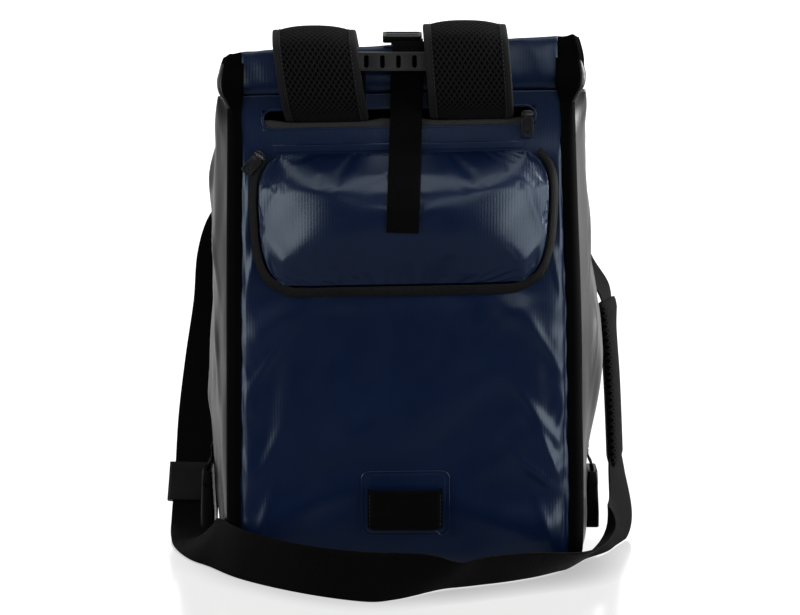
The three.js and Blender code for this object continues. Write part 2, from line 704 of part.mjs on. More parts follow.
// Closure: strap down the front with a free end, buckle on the roll, anchor webbing behind.
const closureX = (z) => mix(-1.6, 2, (z - 284) / 106);
const onPocket = (z) => {
  const v = (z - pocket.low) / (pocket.high - pocket.low);
  return pocketPoint(0, v).y - 1.7;
};
const rollTop = rollLow(2) + 2 * rollHalfHeight(2);
const rollFront = roll.y - roll.halfDepth;
const closureRows = [
  ...[284, 292, 302, 312, 320].map((z) => [closureX(z), onPocket(z), z]),
  ...[326, 331, 336].map((z) => [closureX(z), onPocket(z) - 1.9, z]),
  [closureX(344), frontAt(0, 344).y - 5.5, 344],
  ...[356, 367].map((z) => [closureX(z), frontAt(0, z).y - 3.2, z]),
  [closureX(378), frontAt(0, 378).y - 3, 378],
  [closureX(388), rollFront - 1.1, 388],
  [closureX(398), rollFront - 1.4, 398],
  [closureX(408), rollFront - 1.5, 408],
  [closureX(418), rollFront - 0.9, 418],
  [closureX(424), rollFront + 1.2, 424],
  [closureX(425), rollFront + 5.3, rollTop + 1],
].map((row) => [...row, 1, 0, 0]);
addGeometry('closure_strap', 'webbing', strap(
  strapFrames(closureRows, steps(0, 1, 34)), 25.5, webbingThickness,
));
const buckleShape = roundedShape(31, 20, 2.5, 2);
for (const z of [-4.4, 4.4]) {
  const hole = roundedShape(26, 3.6, 0.8, 1).getPoints().map((p) => new THREE.Vector2(p.x, p.y + z));
  buckleShape.holes.push(new THREE.Path().setFromPoints(hole.reverse()));
}
const buckleGeometry = plate(buckleShape, 5.4);
place(buckleGeometry, [0.12, 0, 0], vec(-1.8, roll.y + 4, rollTop + 0.9));
addGeometry('closure_buckle', 'plastic', buckleGeometry);
const anchorRows = [
  [2, roll.y + 15.2, rollTop + 1.6],
  [2, roll.y + 16.6, rollTop - 5],
  [2, roll.y + 17, rollTop - 16],
  [2, roll.y + 18, rollTop - 31],
  ...[381, 370, 358, 344].map((z) => [2, backAt(2, z).y + 2.1, z + 1.1]),
].map((row) => [...row, 1, 0, 0]);
addGeometry('closure_anchor', 'webbing', strap(
  strapFrames(anchorRows, steps(0, 1, 16)), 25.5, webbingThickness,
));

// Carry strap: sewn on the back, down the left, on edge along the floor in front, up the right.
// x, y, z and the way its width points
const sewn = (x, z) => [x, backAt(x, z).y + 1.9, skewed(x, z)];
const carryPath = [
  [...sewn(-103, 297), 0.45, 0.3, -0.9],
  [...sewn(-124, 284), 0.5, 0.27, -0.88],
  [-147, 82, 262, 0.75, 0, -0.65],
  [-158, 89, 232, 1, 0, 0],
  [-162, 90, 190, 1, 0, 0],
  [-170, 88, 140, 1, -0.1, 0],
  [-176, 80, 92, 1, -0.15, 0],
  [-178.5, 68, 48, 1, -0.15, 0.02],
  [-180, 47, 12, 1, 0, 0.05],
  [-177.5, 13, 3.8, 0.96, 0.28, 0.03],
  [-168.5, -34, 12.5, 0.62, 0.35, 0.65],
  [-155, -64, 18.5, 0.3, 0.15, 0.94],
  [-128, -105, 20, 0.12, 0.08, 0.99],
  [-78, -147, 20.6, 0, 0, 1],
  [-32, -167, 20.6, 0, 0.05, 1],
  [-8, -165, 20.2, 0.05, -0.1, 1],
  [14, -156.5, 18.8, 0.15, -0.35, 0.93],
  [37, -146.5, 15.5, 0.32, -0.62, 0.72],
  [60, -136.5, 15.6, 0.25, -0.6, 0.76],
  [98, -120, 15.4, 0.35, -0.6, 0.75],
  [138, -95, 13, 0.25, -0.78, 0.52],
  [160, -55, 12, 0, -0.93, 0.36],
  [173, -12, 14, -0.3, -0.85, 0.42],
  [184, 28, 25, -0.5, -0.75, 0.42],
  [183, 58, 54, -0.35, -0.92, 0.15],
  [181, 76, 90, -0.15, -1, 0],
  [179, 79, 128, -0.15, -1, 0],
  [176, 81, 166, -0.15, -1, 0],
  [172, 84, 202, -0.3, -1, 0],
  [163, 88, 234, -0.8, -0.6, 0],
  [147, 82, 264, -0.75, -0.1, -0.6],
  [...sewn(124, 284), -0.5, 0.27, -0.88],
  [...sewn(103, 297), -0.45, 0.3, -0.9],
];
const carrySteps = 84;
const carryFrames = strapFrames(carryPath, steps(0, 1, carrySteps));
const floorGap = 0.4;
carryFrames.forEach((f) => {
  const reach = (Math.abs(f.across.z) * carryWidth + Math.abs(f.through.z) * webbingThickness) / 2;
  f.centre.z = Math.max(f.centre.z, reach + floorGap);
});
addGeometry('carry_strap', 'webbing', strap(carryFrames, carryWidth, webbingThickness));
const carrySpan = (from, to) => carryFrames.filter((_, i) => {
  const row = (i / carrySteps) * (carryPath.length - 1);
  return row > from && row < to;
});
const ringsRound = (frames, width, thickness, corner) => frames.map((f) => (
  strapRing(f.centre, f.across, f.through, width, thickness, corner)
));
const padSpan = carrySpan(23.8, 27.9);
addGeometry('carry_pad', 'mesh', sleeve(
  ringsRound(padSpan, 62, 14, 5), ringsRound(padSpan, carryWidth + 1.2, 3, 0.4),
));
const adjusterSpan = carrySpan(6.8, 7.7);
addGeometry('carry_adjuster', 'plastic', sleeve(
  ringsRound(adjusterSpan, 49, 6, 2), ringsRound(adjusterSpan, carryWidth + 1.2, 2.6, 0.4),
));

// Open buckle halves on webbing tabs at the lower sides.
const buckle = { width: 31, tall: 48, thick: 11.5, top: 64 };
// name, place round the bag, way out, lift of the sewn end
const buckleSides = [['left', 7.42, -1, 1.3], ['right', 2.58, 1, 2.3]];
for (const [side, around, sign, sewnLift] of buckleSides) {
  const lifted = (z, lift) => {
    const point = skin(around, z);
    return [point.x + sign * lift, point.y, point.z];
  };
  const heights = [86, 82, 78, 74, 70, 66];
  const lifts = [sewnLift, sewnLift, sewnLift + 0.2, sewnLift + 1.2, 5.2, 6.9];
  const rows = heights.map((z, i) => [...lifted(z, lifts[i]), 0, 1, 0]);
  const end = rows[rows.length - 1];
  rows.push([end[0], end[1], 54, 0, 1, 0]);
  addGeometry(`side_tab_${side}`, 'webbing', strap(
    strapFrames(rows, steps(0, 1, 14)), tailWidth, webbingThickness,
  ));
  const level = (z) => vec(end[0], end[1], z);
  const ring = (z, width, thick, corner) => (
    strapRing(level(z), vec(0, 1, 0), vec(1, 0, 0), width, thick, corner)
  );
  const low = buckle.top - buckle.tall;
  addGeometry(`side_buckle_${side}`, 'plastic', sleeve(
    [
      ring(buckle.top, 30, 8, 2), ring(buckle.top - 10, buckle.width, 9, 2), ring(buckle.top - 13, 28, 9, 2),
      ring(low + 12, 28, buckle.thick, 3), ring(low, buckle.width, buckle.thick, 3),
    ],
    [
      ring(buckle.top, 26, 2.6, 0.4), ring(buckle.top - 10, 26, 2.6, 0.4),
      ring(buckle.top - 13, 22, 5.4, 0.8), ring(low + 12, 22, 6, 0.8), ring(low, 24, 6.6, 0.8),
    ],
  ));
}

// Zip sliders, each with a bail, and the pulls that swing on them.
const pullSize = { width: 9.4, length: 20, thickness: 1.8, eye: 2.3, bore: 1.25 };
const bail = { reach: 6.4, bar: 0.8, half: 4.3, post: 1.6 };
function zipSlider(turn, at) {
  const body = place(plate(roundedShape(9, 10, 2, 2), 3.2), [Math.PI / 2, 0, 0], vec(0, -0.5, -2));
  const postSize = [bail.post, bail.reach - 1.6, bail.post];
  const posts = [-1, 1].map((sign) => (
    new THREE.BoxGeometry(...postSize).translate(sign * bail.half, -bail.reach + postSize[1] / 2 - 0.6, 0)
  ));
  const bar = new THREE.CylinderGeometry(bail.bar, bail.bar, 2 * bail.half, 8).rotateZ(Math.PI / 2);
  bar.translate(0, -bail.reach, 0);
  const shoulder = new THREE.BoxGeometry(2 * bail.half + bail.post, 2, 3).translate(0, -2.6, 0);
  return place(joined(body, shoulder, ...posts, bar), [0, turn, 0], at);
}
function zipPull(turn, at) {
  const eyeShape = new THREE.Shape().absarc(0, 0, pullSize.eye, 0, 2 * Math.PI);
  eyeShape.holes.push(new THREE.Path().absarc(0, 0, pullSize.bore, 0, 2 * Math.PI, true));
  const eye = plate(eyeShape, 6, 4);
  place(eye, [0, Math.PI / 2, 0], vec(-3, -bail.reach, 0));
  const bladeShape = roundedShape(pullSize.width, pullSize.length - 4, 2.2, 2);
  const hole = new THREE.Path().absarc(0, -4.6, 1.7, 0, 2 * Math.PI, true);
  bladeShape.holes.push(hole);
  const blade = plate(bladeShape, pullSize.thickness, 4);
  const drop = -1.9 - (pullSize.length - 4) / 2;
  place(blade, [Math.PI / 2, 0, 0], vec(0, -bail.reach + pullSize.thickness / 2, drop));
  const neck = new THREE.BoxGeometry(5, pullSize.thickness, 2).translate(0, -bail.reach, -2.4);
  return place(joined(eye, neck, blade), [0, turn, 0], at);
}
// name, x, z, turn in degrees, lift off the cloth
const zipEnds = [
  ['slot', 97, 370.5, 0, 0.4],
  ['pocket', -114.5, 341.5, 42, 0],
];
for (const [name, x, z, degrees, lift] of zipEnds) {
  const cloth = frontAt(x, z);
  const at = vec(cloth.x, cloth.y - lift, cloth.z);
  const turn = THREE.MathUtils.degToRad(degrees);
  addGeometry(`${name}_zip_slider`, 'darkMetal', zipSlider(turn, at));
  addGeometry(`${name}_zip_pull`, 'darkMetal', zipPull(turn, at));
}

export default part;
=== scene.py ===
import math
import bmesh
import bpy
import numpy as np
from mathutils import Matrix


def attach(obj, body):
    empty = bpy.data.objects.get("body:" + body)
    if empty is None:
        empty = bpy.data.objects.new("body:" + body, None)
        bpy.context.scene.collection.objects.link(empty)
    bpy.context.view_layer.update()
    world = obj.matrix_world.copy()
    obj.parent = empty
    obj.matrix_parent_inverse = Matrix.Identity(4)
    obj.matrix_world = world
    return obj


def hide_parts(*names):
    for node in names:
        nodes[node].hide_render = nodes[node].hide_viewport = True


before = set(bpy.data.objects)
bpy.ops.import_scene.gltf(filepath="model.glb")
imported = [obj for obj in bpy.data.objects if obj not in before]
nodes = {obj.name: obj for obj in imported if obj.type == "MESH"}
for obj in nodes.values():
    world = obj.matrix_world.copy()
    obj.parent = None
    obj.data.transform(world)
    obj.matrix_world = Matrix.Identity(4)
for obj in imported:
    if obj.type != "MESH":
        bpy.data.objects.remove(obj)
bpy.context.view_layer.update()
scene = bpy.context.scene
mm = 0.001
print("stage: frame loaded")

# camera at the photo's height and distance
cameraSpec = {"place": (-0.0036, -2.1644, 0.60425), "tilt": 10.5, "lens": 119.5, "sensor": 36.0}
cameraData = bpy.data.cameras.new("photoCamera")
cameraData.lens = cameraSpec["lens"]
cameraData.sensor_width = cameraSpec["sensor"]
cameraData.dof.use_dof = False
camera = bpy.data.objects.new("photoCamera", cameraData)
camera.location = cameraSpec["place"]
camera.rotation_euler = (math.radians(90 - cameraSpec["tilt"]), 0, 0)
scene.collection.objects.link(camera)
scene.camera = camera
print("stage: camera")


# node helpers
def addNode(tree, kind, **settings):
    node = tree.nodes.new(kind)
    for key, value in settings.items():
        setattr(node, key, value)
    return node


# a socket is linked, a plain value is set
def feed(tree, socket, value):
    if isinstance(value, bpy.types.NodeSocket):
        tree.links.new(value, socket)
    else:
        socket.default_value = value


def mathNode(tree, operation, *values):
    node = addNode(tree, "ShaderNodeMath", operation=operation)
    for socket, value in zip(node.inputs, values):
        feed(tree, socket, value)
    return node.outputs[0]


def noise(tree, vector, **values):
    node = addNode(tree, "ShaderNodeTexNoise")
    tree.links.new(vector, node.inputs["Vector"])
    for key, value in values.items():
        feed(tree, node.inputs[key], value)
    return node.outputs["Fac"]


def ranged(tree, value, toMin, toMax, fromMin=0.0, fromMax=1.0, kind="LINEAR"):
    node = addNode(tree, "ShaderNodeMapRange", interpolation_type=kind)
    for key, limit in (("From Min", fromMin), ("From Max", fromMax), ("To Min", toMin), ("To Max", toMax)):
        node.inputs[key].default_value = limit
    tree.links.new(value, node.inputs["Value"])
    return node.outputs[0]


def waves(tree, turns):
    return mathNode(tree, "SINE", mathNode(tree, "MULTIPLY", turns, 2 * math.pi))


def parted(tree, vector):
    split = addNode(tree, "ShaderNodeSeparateXYZ")
    tree.links.new(vector, split.inputs[0])
    return list(split.outputs)


def groupTree(name, inputs, outputs):
    tree = bpy.data.node_groups.new(name, "ShaderNodeTree")
    for label, value in inputs.items():
        kind = "NodeSocketVector" if value is None else "NodeSocketFloat"
        socket = tree.interface.new_socket(label, in_out="INPUT", socket_type=kind)
        if value is not None:
            socket.default_value = value
    for label in outputs:
        tree.interface.new_socket(label, in_out="OUTPUT", socket_type="NodeSocketFloat")
    return tree, tree.nodes.new("NodeGroupInput").outputs, tree.nodes.new("NodeGroupOutput").inputs


def useGroup(tree, group, **values):
    node = addNode(tree, "ShaderNodeGroup", node_tree=group)
    for key, value in values.items():
        feed(tree, node.inputs[key], value)
    return node.outputs


# coated cloth: fine ribs down the cloth, cross threads and soft dirt
coating = {"crossPitch": 0.0016, "cross": 0.12, "grain": 0.35, "shade": (0.82, 1.18), "gloss": (-0.06, 0.08)}


def clothGroup():
    sockets = {"place": None, "pitch": 0.0024, "ribs": 1.0}
    tree, given, made = groupTree("coatedCloth", sockets, ["height", "shade", "gloss"])
    place = given["place"]
    x, _, z = parted(tree, place)
    rib = waves(tree, mathNode(tree, "DIVIDE", x, given["pitch"]))
    cross = waves(tree, mathNode(tree, "DIVIDE", z, coating["crossPitch"]))
    ribMask = mathNode(tree, "MULTIPLY", noise(tree, place, Scale=9.0), given["ribs"])
    woven = mathNode(tree, "MULTIPLY_ADD", cross, coating["cross"], mathNode(tree, "MULTIPLY", rib, ribMask))
    grain = noise(tree, place, Scale=900.0, Detail=2.0)
    height = mathNode(tree, "MULTIPLY_ADD", grain, coating["grain"], woven)
    tree.links.new(height, made["height"])
    tree.links.new(ranged(tree, noise(tree, place, Scale=14.0, Detail=4.0), *coating["shade"]), made["shade"])
    tree.links.new(ranged(tree, noise(tree, place, Scale=38.0, Detail=5.0), *coating["gloss"]), made["gloss"])
    return tree


# webbing: slanted ribs in rows across the strap; uv is in metres, u across and v along
weave = {"slant": 0.6, "columns": 0.5, "fuzz": 0.8, "shade": (0.8, 1.2), "shadeFrom": (-1.5, 2.0)}


def webbingGroup():
    tree, given, made = groupTree("webbingWeave", {"uv": None, "pitch": 0.0022}, ["height", "shade"])
    across, along = (mathNode(tree, "DIVIDE", way, given["pitch"]) for way in parted(tree, given["uv"])[:2])
    fold = mathNode(tree, "PINGPONG", across, 1.0)
    rib = waves(tree, mathNode(tree, "ADD", along, mathNode(tree, "MULTIPLY", fold, weave["slant"])))
    ribs = mathNode(tree, "MULTIPLY_ADD", waves(tree, across), weave["columns"], rib)
    height = mathNode(tree, "MULTIPLY_ADD", noise(tree, given["uv"], Scale=1400.0), weave["fuzz"], ribs)
    tree.links.new(height, made["height"])
    # colour follows the rib height, darker down between the ribs: painted shade, with the fuzz adding random
    # tone
    tree.links.new(ranged(tree, height, *weave["shade"], *weave["shadeFrom"]), made["shade"])
    return tree


# spacer mesh: crossing threads with an open diamond between them
openMesh = {"wide": 0.0042, "tall": 0.0058, "holeFrom": (0.09, 0.19), "yarn": 0.3}


def meshGroup():
    cell = {"uv": None, "wide": openMesh["wide"], "tall": openMesh["tall"]}
    tree, given, made = groupTree("spacerMesh", cell, ["height", "hole"])
    u, v, _ = parted(tree, given["uv"])
    across = mathNode(tree, "DIVIDE", u, given["wide"])
    along = mathNode(tree, "DIVIDE", v, given["tall"])
    rise = mathNode(tree, "PINGPONG", mathNode(tree, "ADD", across, along), 0.5)
    fall = mathNode(tree, "PINGPONG", mathNode(tree, "SUBTRACT", across, along), 0.5)
    hole = ranged(tree, mathNode(tree, "MINIMUM", rise, fall), 0.0, 1.0, *openMesh["holeFrom"], "SMOOTHSTEP")
    yarn = mathNode(tree, "MULTIPLY", noise(tree, given["uv"], Scale=1600.0), openMesh["yarn"])
    tree.links.new(mathNode(tree, "SUBTRACT", yarn, hole), made["height"])
    tree.links.new(hole, made["hole"])
    return tree


# moulded plastic and rubber: fine grain and rubbed places
def mouldGroup():
    tree, given, made = groupTree("mouldedGrain", {"place": None, "scale": 1500.0}, ["height", "shade"])
    place = given["place"]
    tree.links.new(noise(tree, place, Scale=given["scale"]), made["height"])
    tree.links.new(ranged(tree, noise(tree, place, Scale=60.0, Detail=4.0), 0.75, 1.25), made["shade"])
    return tree


clothEffect = clothGroup()
webbingEffect = webbingGroup()
meshEffect = meshGroup()
mouldEffect = mouldGroup()


bumpDepth = {"cloth": 0.0002, "webbing": 0.0004, "mesh": 0.0012, "mould": 0.0001}  # in metres


def newMaterial(name):
    material = bpy.data.materials.new(name)
    material.use_nodes = True
    material.node_tree.nodes.clear()
    return material, material.node_tree


def shaded(tree, colour, shade):
    node = addNode(tree, "ShaderNodeMix", data_type="RGBA", blend_type="MULTIPLY")
    node.inputs[0].default_value = 1.0
    node.inputs[6].default_value = (*colour, 1)
    tree.links.new(shade, node.inputs[7])
    return node.outputs[2]


def finishMaterial(tree, colour, height, strength, distance, settings):
    surface = addNode(tree, "ShaderNodeBsdfPrincipled")
    bump = addNode(tree, "ShaderNodeBump")
    for key, value in (("Strength", strength), ("Distance", distance), ("Height", height)):
        feed(tree, bump.inputs[key], value)
    for key, value in {"Base Color": colour, "Normal": bump.outputs[0], **settings}.items():
        feed(tree, surface.inputs[key], value)
    tree.links.new(surface.outputs[0], addNode(tree, "ShaderNodeOutputMaterial").inputs["Surface"])


def objectPlace(tree):
    return addNode(tree, "ShaderNodeTexCoord").outputs["Object"]


def uvPlace(tree):
    return addNode(tree, "ShaderNodeUVMap", uv_map="strapMap").outputs[0]


def clothMaterial(name, spec):
    material, tree = newMaterial(name)
    effect = useGroup(tree, clothEffect, place=objectPlace(tree), pitch=spec["pitch"], ribs=spec["ribs"])
    colour = shaded(tree, spec["colour"], effect["shade"])
    finishMaterial(tree, colour, effect["height"], spec["bump"], bumpDepth["cloth"], {
        "Roughness": mathNode(tree, "ADD", effect["gloss"], spec["roughness"]),
        "Specular IOR Level": spec["specular"], "Specular Tint": (*spec["tint"], 1),
        "Coat Weight": spec["coat"], "Coat Roughness": 0.24})
    return material


def webbingMaterial(name, spec):
    material, tree = newMaterial(name)
    effect = useGroup(tree, webbingEffect, uv=uvPlace(tree), pitch=spec["pitch"])
    colour = shaded(tree, spec["colour"], effect["shade"])
    finishMaterial(tree, colour, effect["height"], spec["bump"], bumpDepth["webbing"], {
        "Roughness": spec["roughness"], "Specular IOR Level": spec["specular"],
        "Sheen Weight": 0.012, "Sheen Roughness": 0.5})
    return material


def meshMaterial(name, spec):
    material, tree = newMaterial(name)
    effect = useGroup(tree, meshEffect, uv=uvPlace(tree))
    # the open diamonds take the near-black hole colour: painted shade in the openings
    colour = addNode(tree, "ShaderNodeMix", data_type="RGBA")
    colour.inputs[6].default_value = (*spec["yarn"], 1)
    colour.inputs[7].default_value = (*spec["hole"], 1)
    tree.links.new(effect["hole"], colour.inputs[0])
    finishMaterial(tree, colour.outputs[2], effect["height"], 1.0, bumpDepth["mesh"], {
        "Roughness": spec["roughness"], "Specular IOR Level": spec["specular"], "Sheen Weight": 0.012})
    return material


def mouldMaterial(name, spec):
    material, tree = newMaterial(name)
    effect = useGroup(tree, mouldEffect, place=objectPlace(tree), scale=spec["grain"])
    colour = shaded(tree, spec["colour"], effect["shade"])
    finishMaterial(tree, colour, effect["height"], spec["bump"], bumpDepth["mould"], {
        "Roughness": spec["roughness"], "Specular IOR Level": spec["specular"], "Metallic": spec["metal"]})
    return material


navyCloth = clothMaterial("navyCloth", {
    "colour": (0.0022, 0.0082, 0.034), "pitch": 0.0024, "ribs": 1.0, "roughness": 0.32, "bump": 0.16,
    "specular": 0.46, "coat": 0.06, "tint": (0.72, 0.88, 1.0)})
blackCloth = clothMaterial("blackCloth", {
    "colour": (0.0045, 0.0047, 0.005), "pitch": 0.0024, "ribs": 0.5, "roughness": 0.36, "bump": 0.2,
    "specular": 0.4, "coat": 0.05, "tint": (1.0, 1.0, 1.0)})
tapeCloth = clothMaterial("tapeCloth", {
    "colour": (0.0014, 0.0014, 0.0015), "pitch": 0.002, "ribs": 0.3, "roughness": 0.6, "bump": 0.2,
    "specular": 0.015, "coat": 0.0, "tint": (1.0, 1.0, 1.0)})
webbing = webbingMaterial("webbing", {
    "colour": (0.001, 0.001, 0.0011), "pitch": 0.0012, "roughness": 0.75, "bump": 0.45, "specular": 0.05})
binding = webbingMaterial("binding", {
    "colour": (0.0035, 0.0035, 0.0038), "pitch": 0.0012, "roughness": 0.75, "bump": 0.4, "specular": 0.2})
zipTape = webbingMaterial("zipTape", {
    "colour": (0.016, 0.0163, 0.017), "pitch": 0.0012, "roughness": 0.7, "bump": 0.4, "specular": 0.3})
# the hole colour is painted shade in the mesh's open diamonds
spacerMesh = meshMaterial("spacerMesh", {
    "yarn": (0.010, 0.010, 0.0103), "hole": (0.0006, 0.0006, 0.0007), "roughness": 0.85, "specular": 0.04})
rubber = mouldMaterial("rubber", {
    "colour": (0.019, 0.0193, 0.02), "grain": 900.0, "roughness": 0.5, "bump": 0.3, "metal": 0.0,
    "specular": 0.5})
plastic = mouldMaterial("plastic", {
    "colour": (0.0022, 0.0023, 0.0025), "grain": 1800.0, "roughness": 0.4, "bump": 0.2, "metal": 0.0,
    "specular": 0.16})
darkMetal = mouldMaterial("darkMetal", {
    "colour": (0.06, 0.061, 0.064), "grain": 2500.0, "roughness": 0.3, "bump": 0.1, "metal": 0.9,
    "specular": 0.5})
thread = mouldMaterial("thread", {
    "colour": (0.007, 0.007, 0.0075), "grain": 3000.0, "roughness": 0.7, "bump": 0.3, "metal": 0.0,
    "specular": 0.5})
print("stage: materials")


# shape helpers; all lengths below are millimetres in the part's frame
def mix(a, b, t):
    return a + (b - a) * t


def smooth(a, b, t):
    s = np.clip((np.asarray(t, float) - a) / (b - a), 0, 1)
    return s * s * (3 - 2 * s)


# rises to 1 between the first two heights and falls to 0 between the last two
def between(z, low, full, fullEnd, high):
    return smooth(low, full, z) * (1 - smooth(fullEnd, high, z))


def bell(t, middle, width, power=2):
    return np.exp(-(((t - middle) / width) ** power))


# a rounded value with its sign kept: below 1 the power makes a circle boxy
def boxed(t, power):
    return np.sign(t) * np.abs(t) ** power


# steps from -1 to 1, closer together at the ends
def arched(count, share):
    return np.sin(np.linspace(-1, 1, count) * np.pi / 2 * share) / math.sin(np.pi / 2 * share)


def unit(v):
    return v / np.maximum(1e-9, np.linalg.norm(v, axis=-1, keepdims=True))


def arcLength(points):
    return np.concatenate([[0], np.cumsum(np.linalg.norm(np.diff(points, axis=0), axis=1))])


def pathAt(path, run, s):
    return np.stack([np.interp(s, run, path[:, c]) for c in range(path.shape[1])], axis=-1)


# smooth curve through rows of a table, looked up by the first column
def denseTable(rows, count=2400):
    rows = np.array(rows, float)
    last = len(rows) - 1
    zs = np.linspace(rows[0, 0], rows[-1, 0], count)
    before, after = (rows[np.clip(np.arange(last + 1) + step, 0, last)] for step in (-1, 1))
    slopes = (after - before) / (after[:, :1] - before[:, :1])
    k = np.clip(np.searchsorted(rows[:, 0], zs, side="right") - 1, 0, last - 1)
    span = (rows[k + 1, 0] - rows[k, 0])[:, None]
    t = (zs - rows[k, 0])[:, None] / span
    rise = rows[k + 1] - rows[k]
    start, end = slopes[k] * span, slopes[k + 1] * span
    values = rows[k] + t * (start + t * (3 * rise - 2 * start - end + t * (start + end - 2 * rise)))
    return zs, values


def tableAt(table, z):
    zs, values = table
    return [np.interp(z, zs, values[:, c]) for c in range(1, values.shape[1])]


# smooth curve through evenly spaced rows, at places from 0 to 1
def curveRows(rows, ts):
    rows = np.array(rows, float)
    last = len(rows) - 1
    place = np.clip(np.asarray(ts, float), 0, 1) * last
    k = np.minimum(last - 1, np.floor(place).astype(int))
    f = (place - k)[:, None]
    a, b, d, e = (rows[np.clip(k + i, 0, last)] for i in (-1, 0, 1, 2))
    return b + 0.5 * f * (d - a + f * (2 * a - 5 * b + 4 * d - e + f * (3 * b - a - 3 * d + e)))


# smooth wandering value from a few seeded waves
def wander(x, y, size, seed):
    rng = np.random.default_rng(seed)
    total = 0.0
    for _ in range(7):
        angle, phase = rng.uniform(0, 2 * np.pi, 2)
        wave = size * rng.uniform(0.6, 1.7)
        total = total + np.sin((x * np.cos(angle) + y * np.sin(angle)) * 2 * np.pi / wave + phase)
    return total / 3.2


def meshObject(name, verts, faces, material, body="bag", uvs=None, flat=False):
    mesh = bpy.data.meshes.new(name)
    mesh.from_pydata((np.asarray(verts) * mm).tolist(), [], faces)
    mesh.update()
    if uvs is not None:
        layer = mesh.uv_layers.new(name="strapMap")
        index = np.empty(len(mesh.loops), int)
        mesh.loops.foreach_get("vertex_index", index)
        layer.data.foreach_set("uv", (np.asarray(uvs)[index] * mm).ravel())
    if not flat:
        mesh.polygons.foreach_set("use_smooth", [True] * len(mesh.polygons))
    mesh.materials.append(material)
    obj = bpy.data.objects.new(name, mesh)
    scene.collection.objects.link(obj)
    if body:
        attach(obj, body)
    return obj


def gridNormals(grid):
    along = np.gradient(grid, axis=1)
    up = np.gradient(grid, axis=0)
    return unit(np.cross(along, up))


# both faces of a cloth and a wall along every edge of the cells that are kept
def clothFaces(rows, columns, keep=None):
    faces = []
    size = rows * columns
    kept = np.ones((rows - 1, columns - 1), bool) if keep is None else keep
    framed = np.pad(kept, 1)
    for j, i in np.argwhere(kept).tolist():
        a = j * columns + i
        b, c, d = a + 1, a + columns + 1, a + columns
        faces.append((a, b, c, d))
        faces.append((a + size, d + size, c + size, b + size))
        walls = ((j, i + 1, a, b), (j + 1, i + 2, b, c), (j + 2, i + 1, c, d), (j + 1, i, d, a))
        for nextRow, nextColumn, p, q in walls:
            if not framed[nextRow, nextColumn]:
                faces.append((p, p + size, q + size, q))
    return faces


def dropLoose(obj):
    work = bmesh.new()
    work.from_mesh(obj.data)
    bmesh.ops.delete(work, geom=[v for v in work.verts if not v.link_faces], context="VERTS")
    work.to_mesh(obj.data)
    work.free()


# cloth of even thickness on a grid of points; cells that aren't kept are left open
def clothObject(name, grid, material, thickness, lift=0.0, keep=None, uvs=None):
    rows, columns, _ = grid.shape
    normals = gridNormals(grid)
    outer = grid + normals * lift
    inner = grid + normals * (lift - thickness)
    verts = np.concatenate([outer.reshape(-1, 3), inner.reshape(-1, 3)])
    maps = None if uvs is None else np.concatenate([uvs.reshape(-1, 2)] * 2)
    obj = meshObject(name, verts, clothFaces(rows, columns, keep), material, uvs=maps)
    if keep is not None:
        dropLoose(obj)
    return obj


# cloth settling under light pressure: a grid whose pinned points stay; gives how far each point moves
def settledShift(name, grid, pinned, spec):
    rows, columns, _ = grid.shape
    faces = [(j * columns + i, j * columns + i + 1, (j + 1) * columns + i + 1, (j + 1) * columns + i)
             for j in range(rows - 1) for i in range(columns - 1)]
    obj = meshObject(name, grid.reshape(-1, 3), faces, navyCloth, body=None)
    hold = obj.vertex_groups.new(name="hold")
    hold.add(np.flatnonzero(pinned.ravel()).tolist(), 1.0, "REPLACE")
    cloth = obj.modifiers.new("settle", "CLOTH")
    settings = cloth.settings
    settings.vertex_group_mass = "hold"
    settings.quality = spec["quality"]
    settings.mass = spec["mass"]
    settings.bending_stiffness = spec["bending"]
    settings.use_pressure = True
    settings.uniform_pressure_force = spec["pressure"]
    settings.shrink_min = -spec["slack"]
    settings.effector_weights.gravity = 0
    cloth.collision_settings.use_collision = False
    cloth.point_cache.frame_start, cloth.point_cache.frame_end = 1, spec["frames"]
    for step in range(1, spec["frames"] + 1):
        scene.frame_set(step)
    settled = obj.evaluated_get(bpy.context.evaluated_depsgraph_get())
    moved = np.empty(grid.size)
    settled.data.vertices.foreach_get("co", moved)
    bpy.data.objects.remove(obj)
    scene.frame_set(1)
    shift = moved.reshape(grid.shape) / mm - grid
    far = np.linalg.norm(shift, axis=-1, keepdims=True)
    print("settled:", name, "moved up to", round(float(far.max()), 1), "mm")
    return shift * np.minimum(1, spec["cap"] / np.maximum(far, 1e-6))


# a coarse field of shifts on a finer grid of the same spacing
def refined(field, rows, columns):
    for count in (rows, columns):
        finer = curveRows(field.reshape(len(field), -1), np.linspace(0, 1, count))
        field = finer.reshape(count, field.shape[1], -1).transpose(1, 0, 2)
    return field


# frames along a strap: rows give x, y, z and the way its width points
def strapFrames(rows, count):
    step = 0.002
    ts = np.linspace(0, 1, count)
    row = curveRows(rows, ts)
    ahead, before = curveRows(rows, np.minimum(1, ts + step)), curveRows(rows, np.maximum(0, ts - step))
    along = unit(ahead[:, :3] - before[:, :3])
    across = row[:, 3:6]
    across = unit(across - along * np.sum(across * along, axis=1, keepdims=True))
    return {"centre": row[:, :3], "across": across, "through": np.cross(along, across), "t": ts}


# cut through a flat webbing strap with rounded edges
web = {"thickness": 1.6, "shoulder": 0.3, "shoulderHeight": 0.6}


def webbingProfile(width, columns=9):
    w, h = width / 2, web["thickness"] / 2
    xs = np.linspace(-w + h, w - h, columns)
    rimX, rimHigh = w - h * web["shoulder"], h * web["shoulderHeight"]
    right = [(rimX, -rimHigh), (w, 0), (rimX, rimHigh)]
    left = [(-rimX, rimHigh), (-w, 0), (-rimX, -rimHigh)]
    return np.array([(x, -h) for x in xs] + right + [(x, h) for x in xs[::-1]] + left)


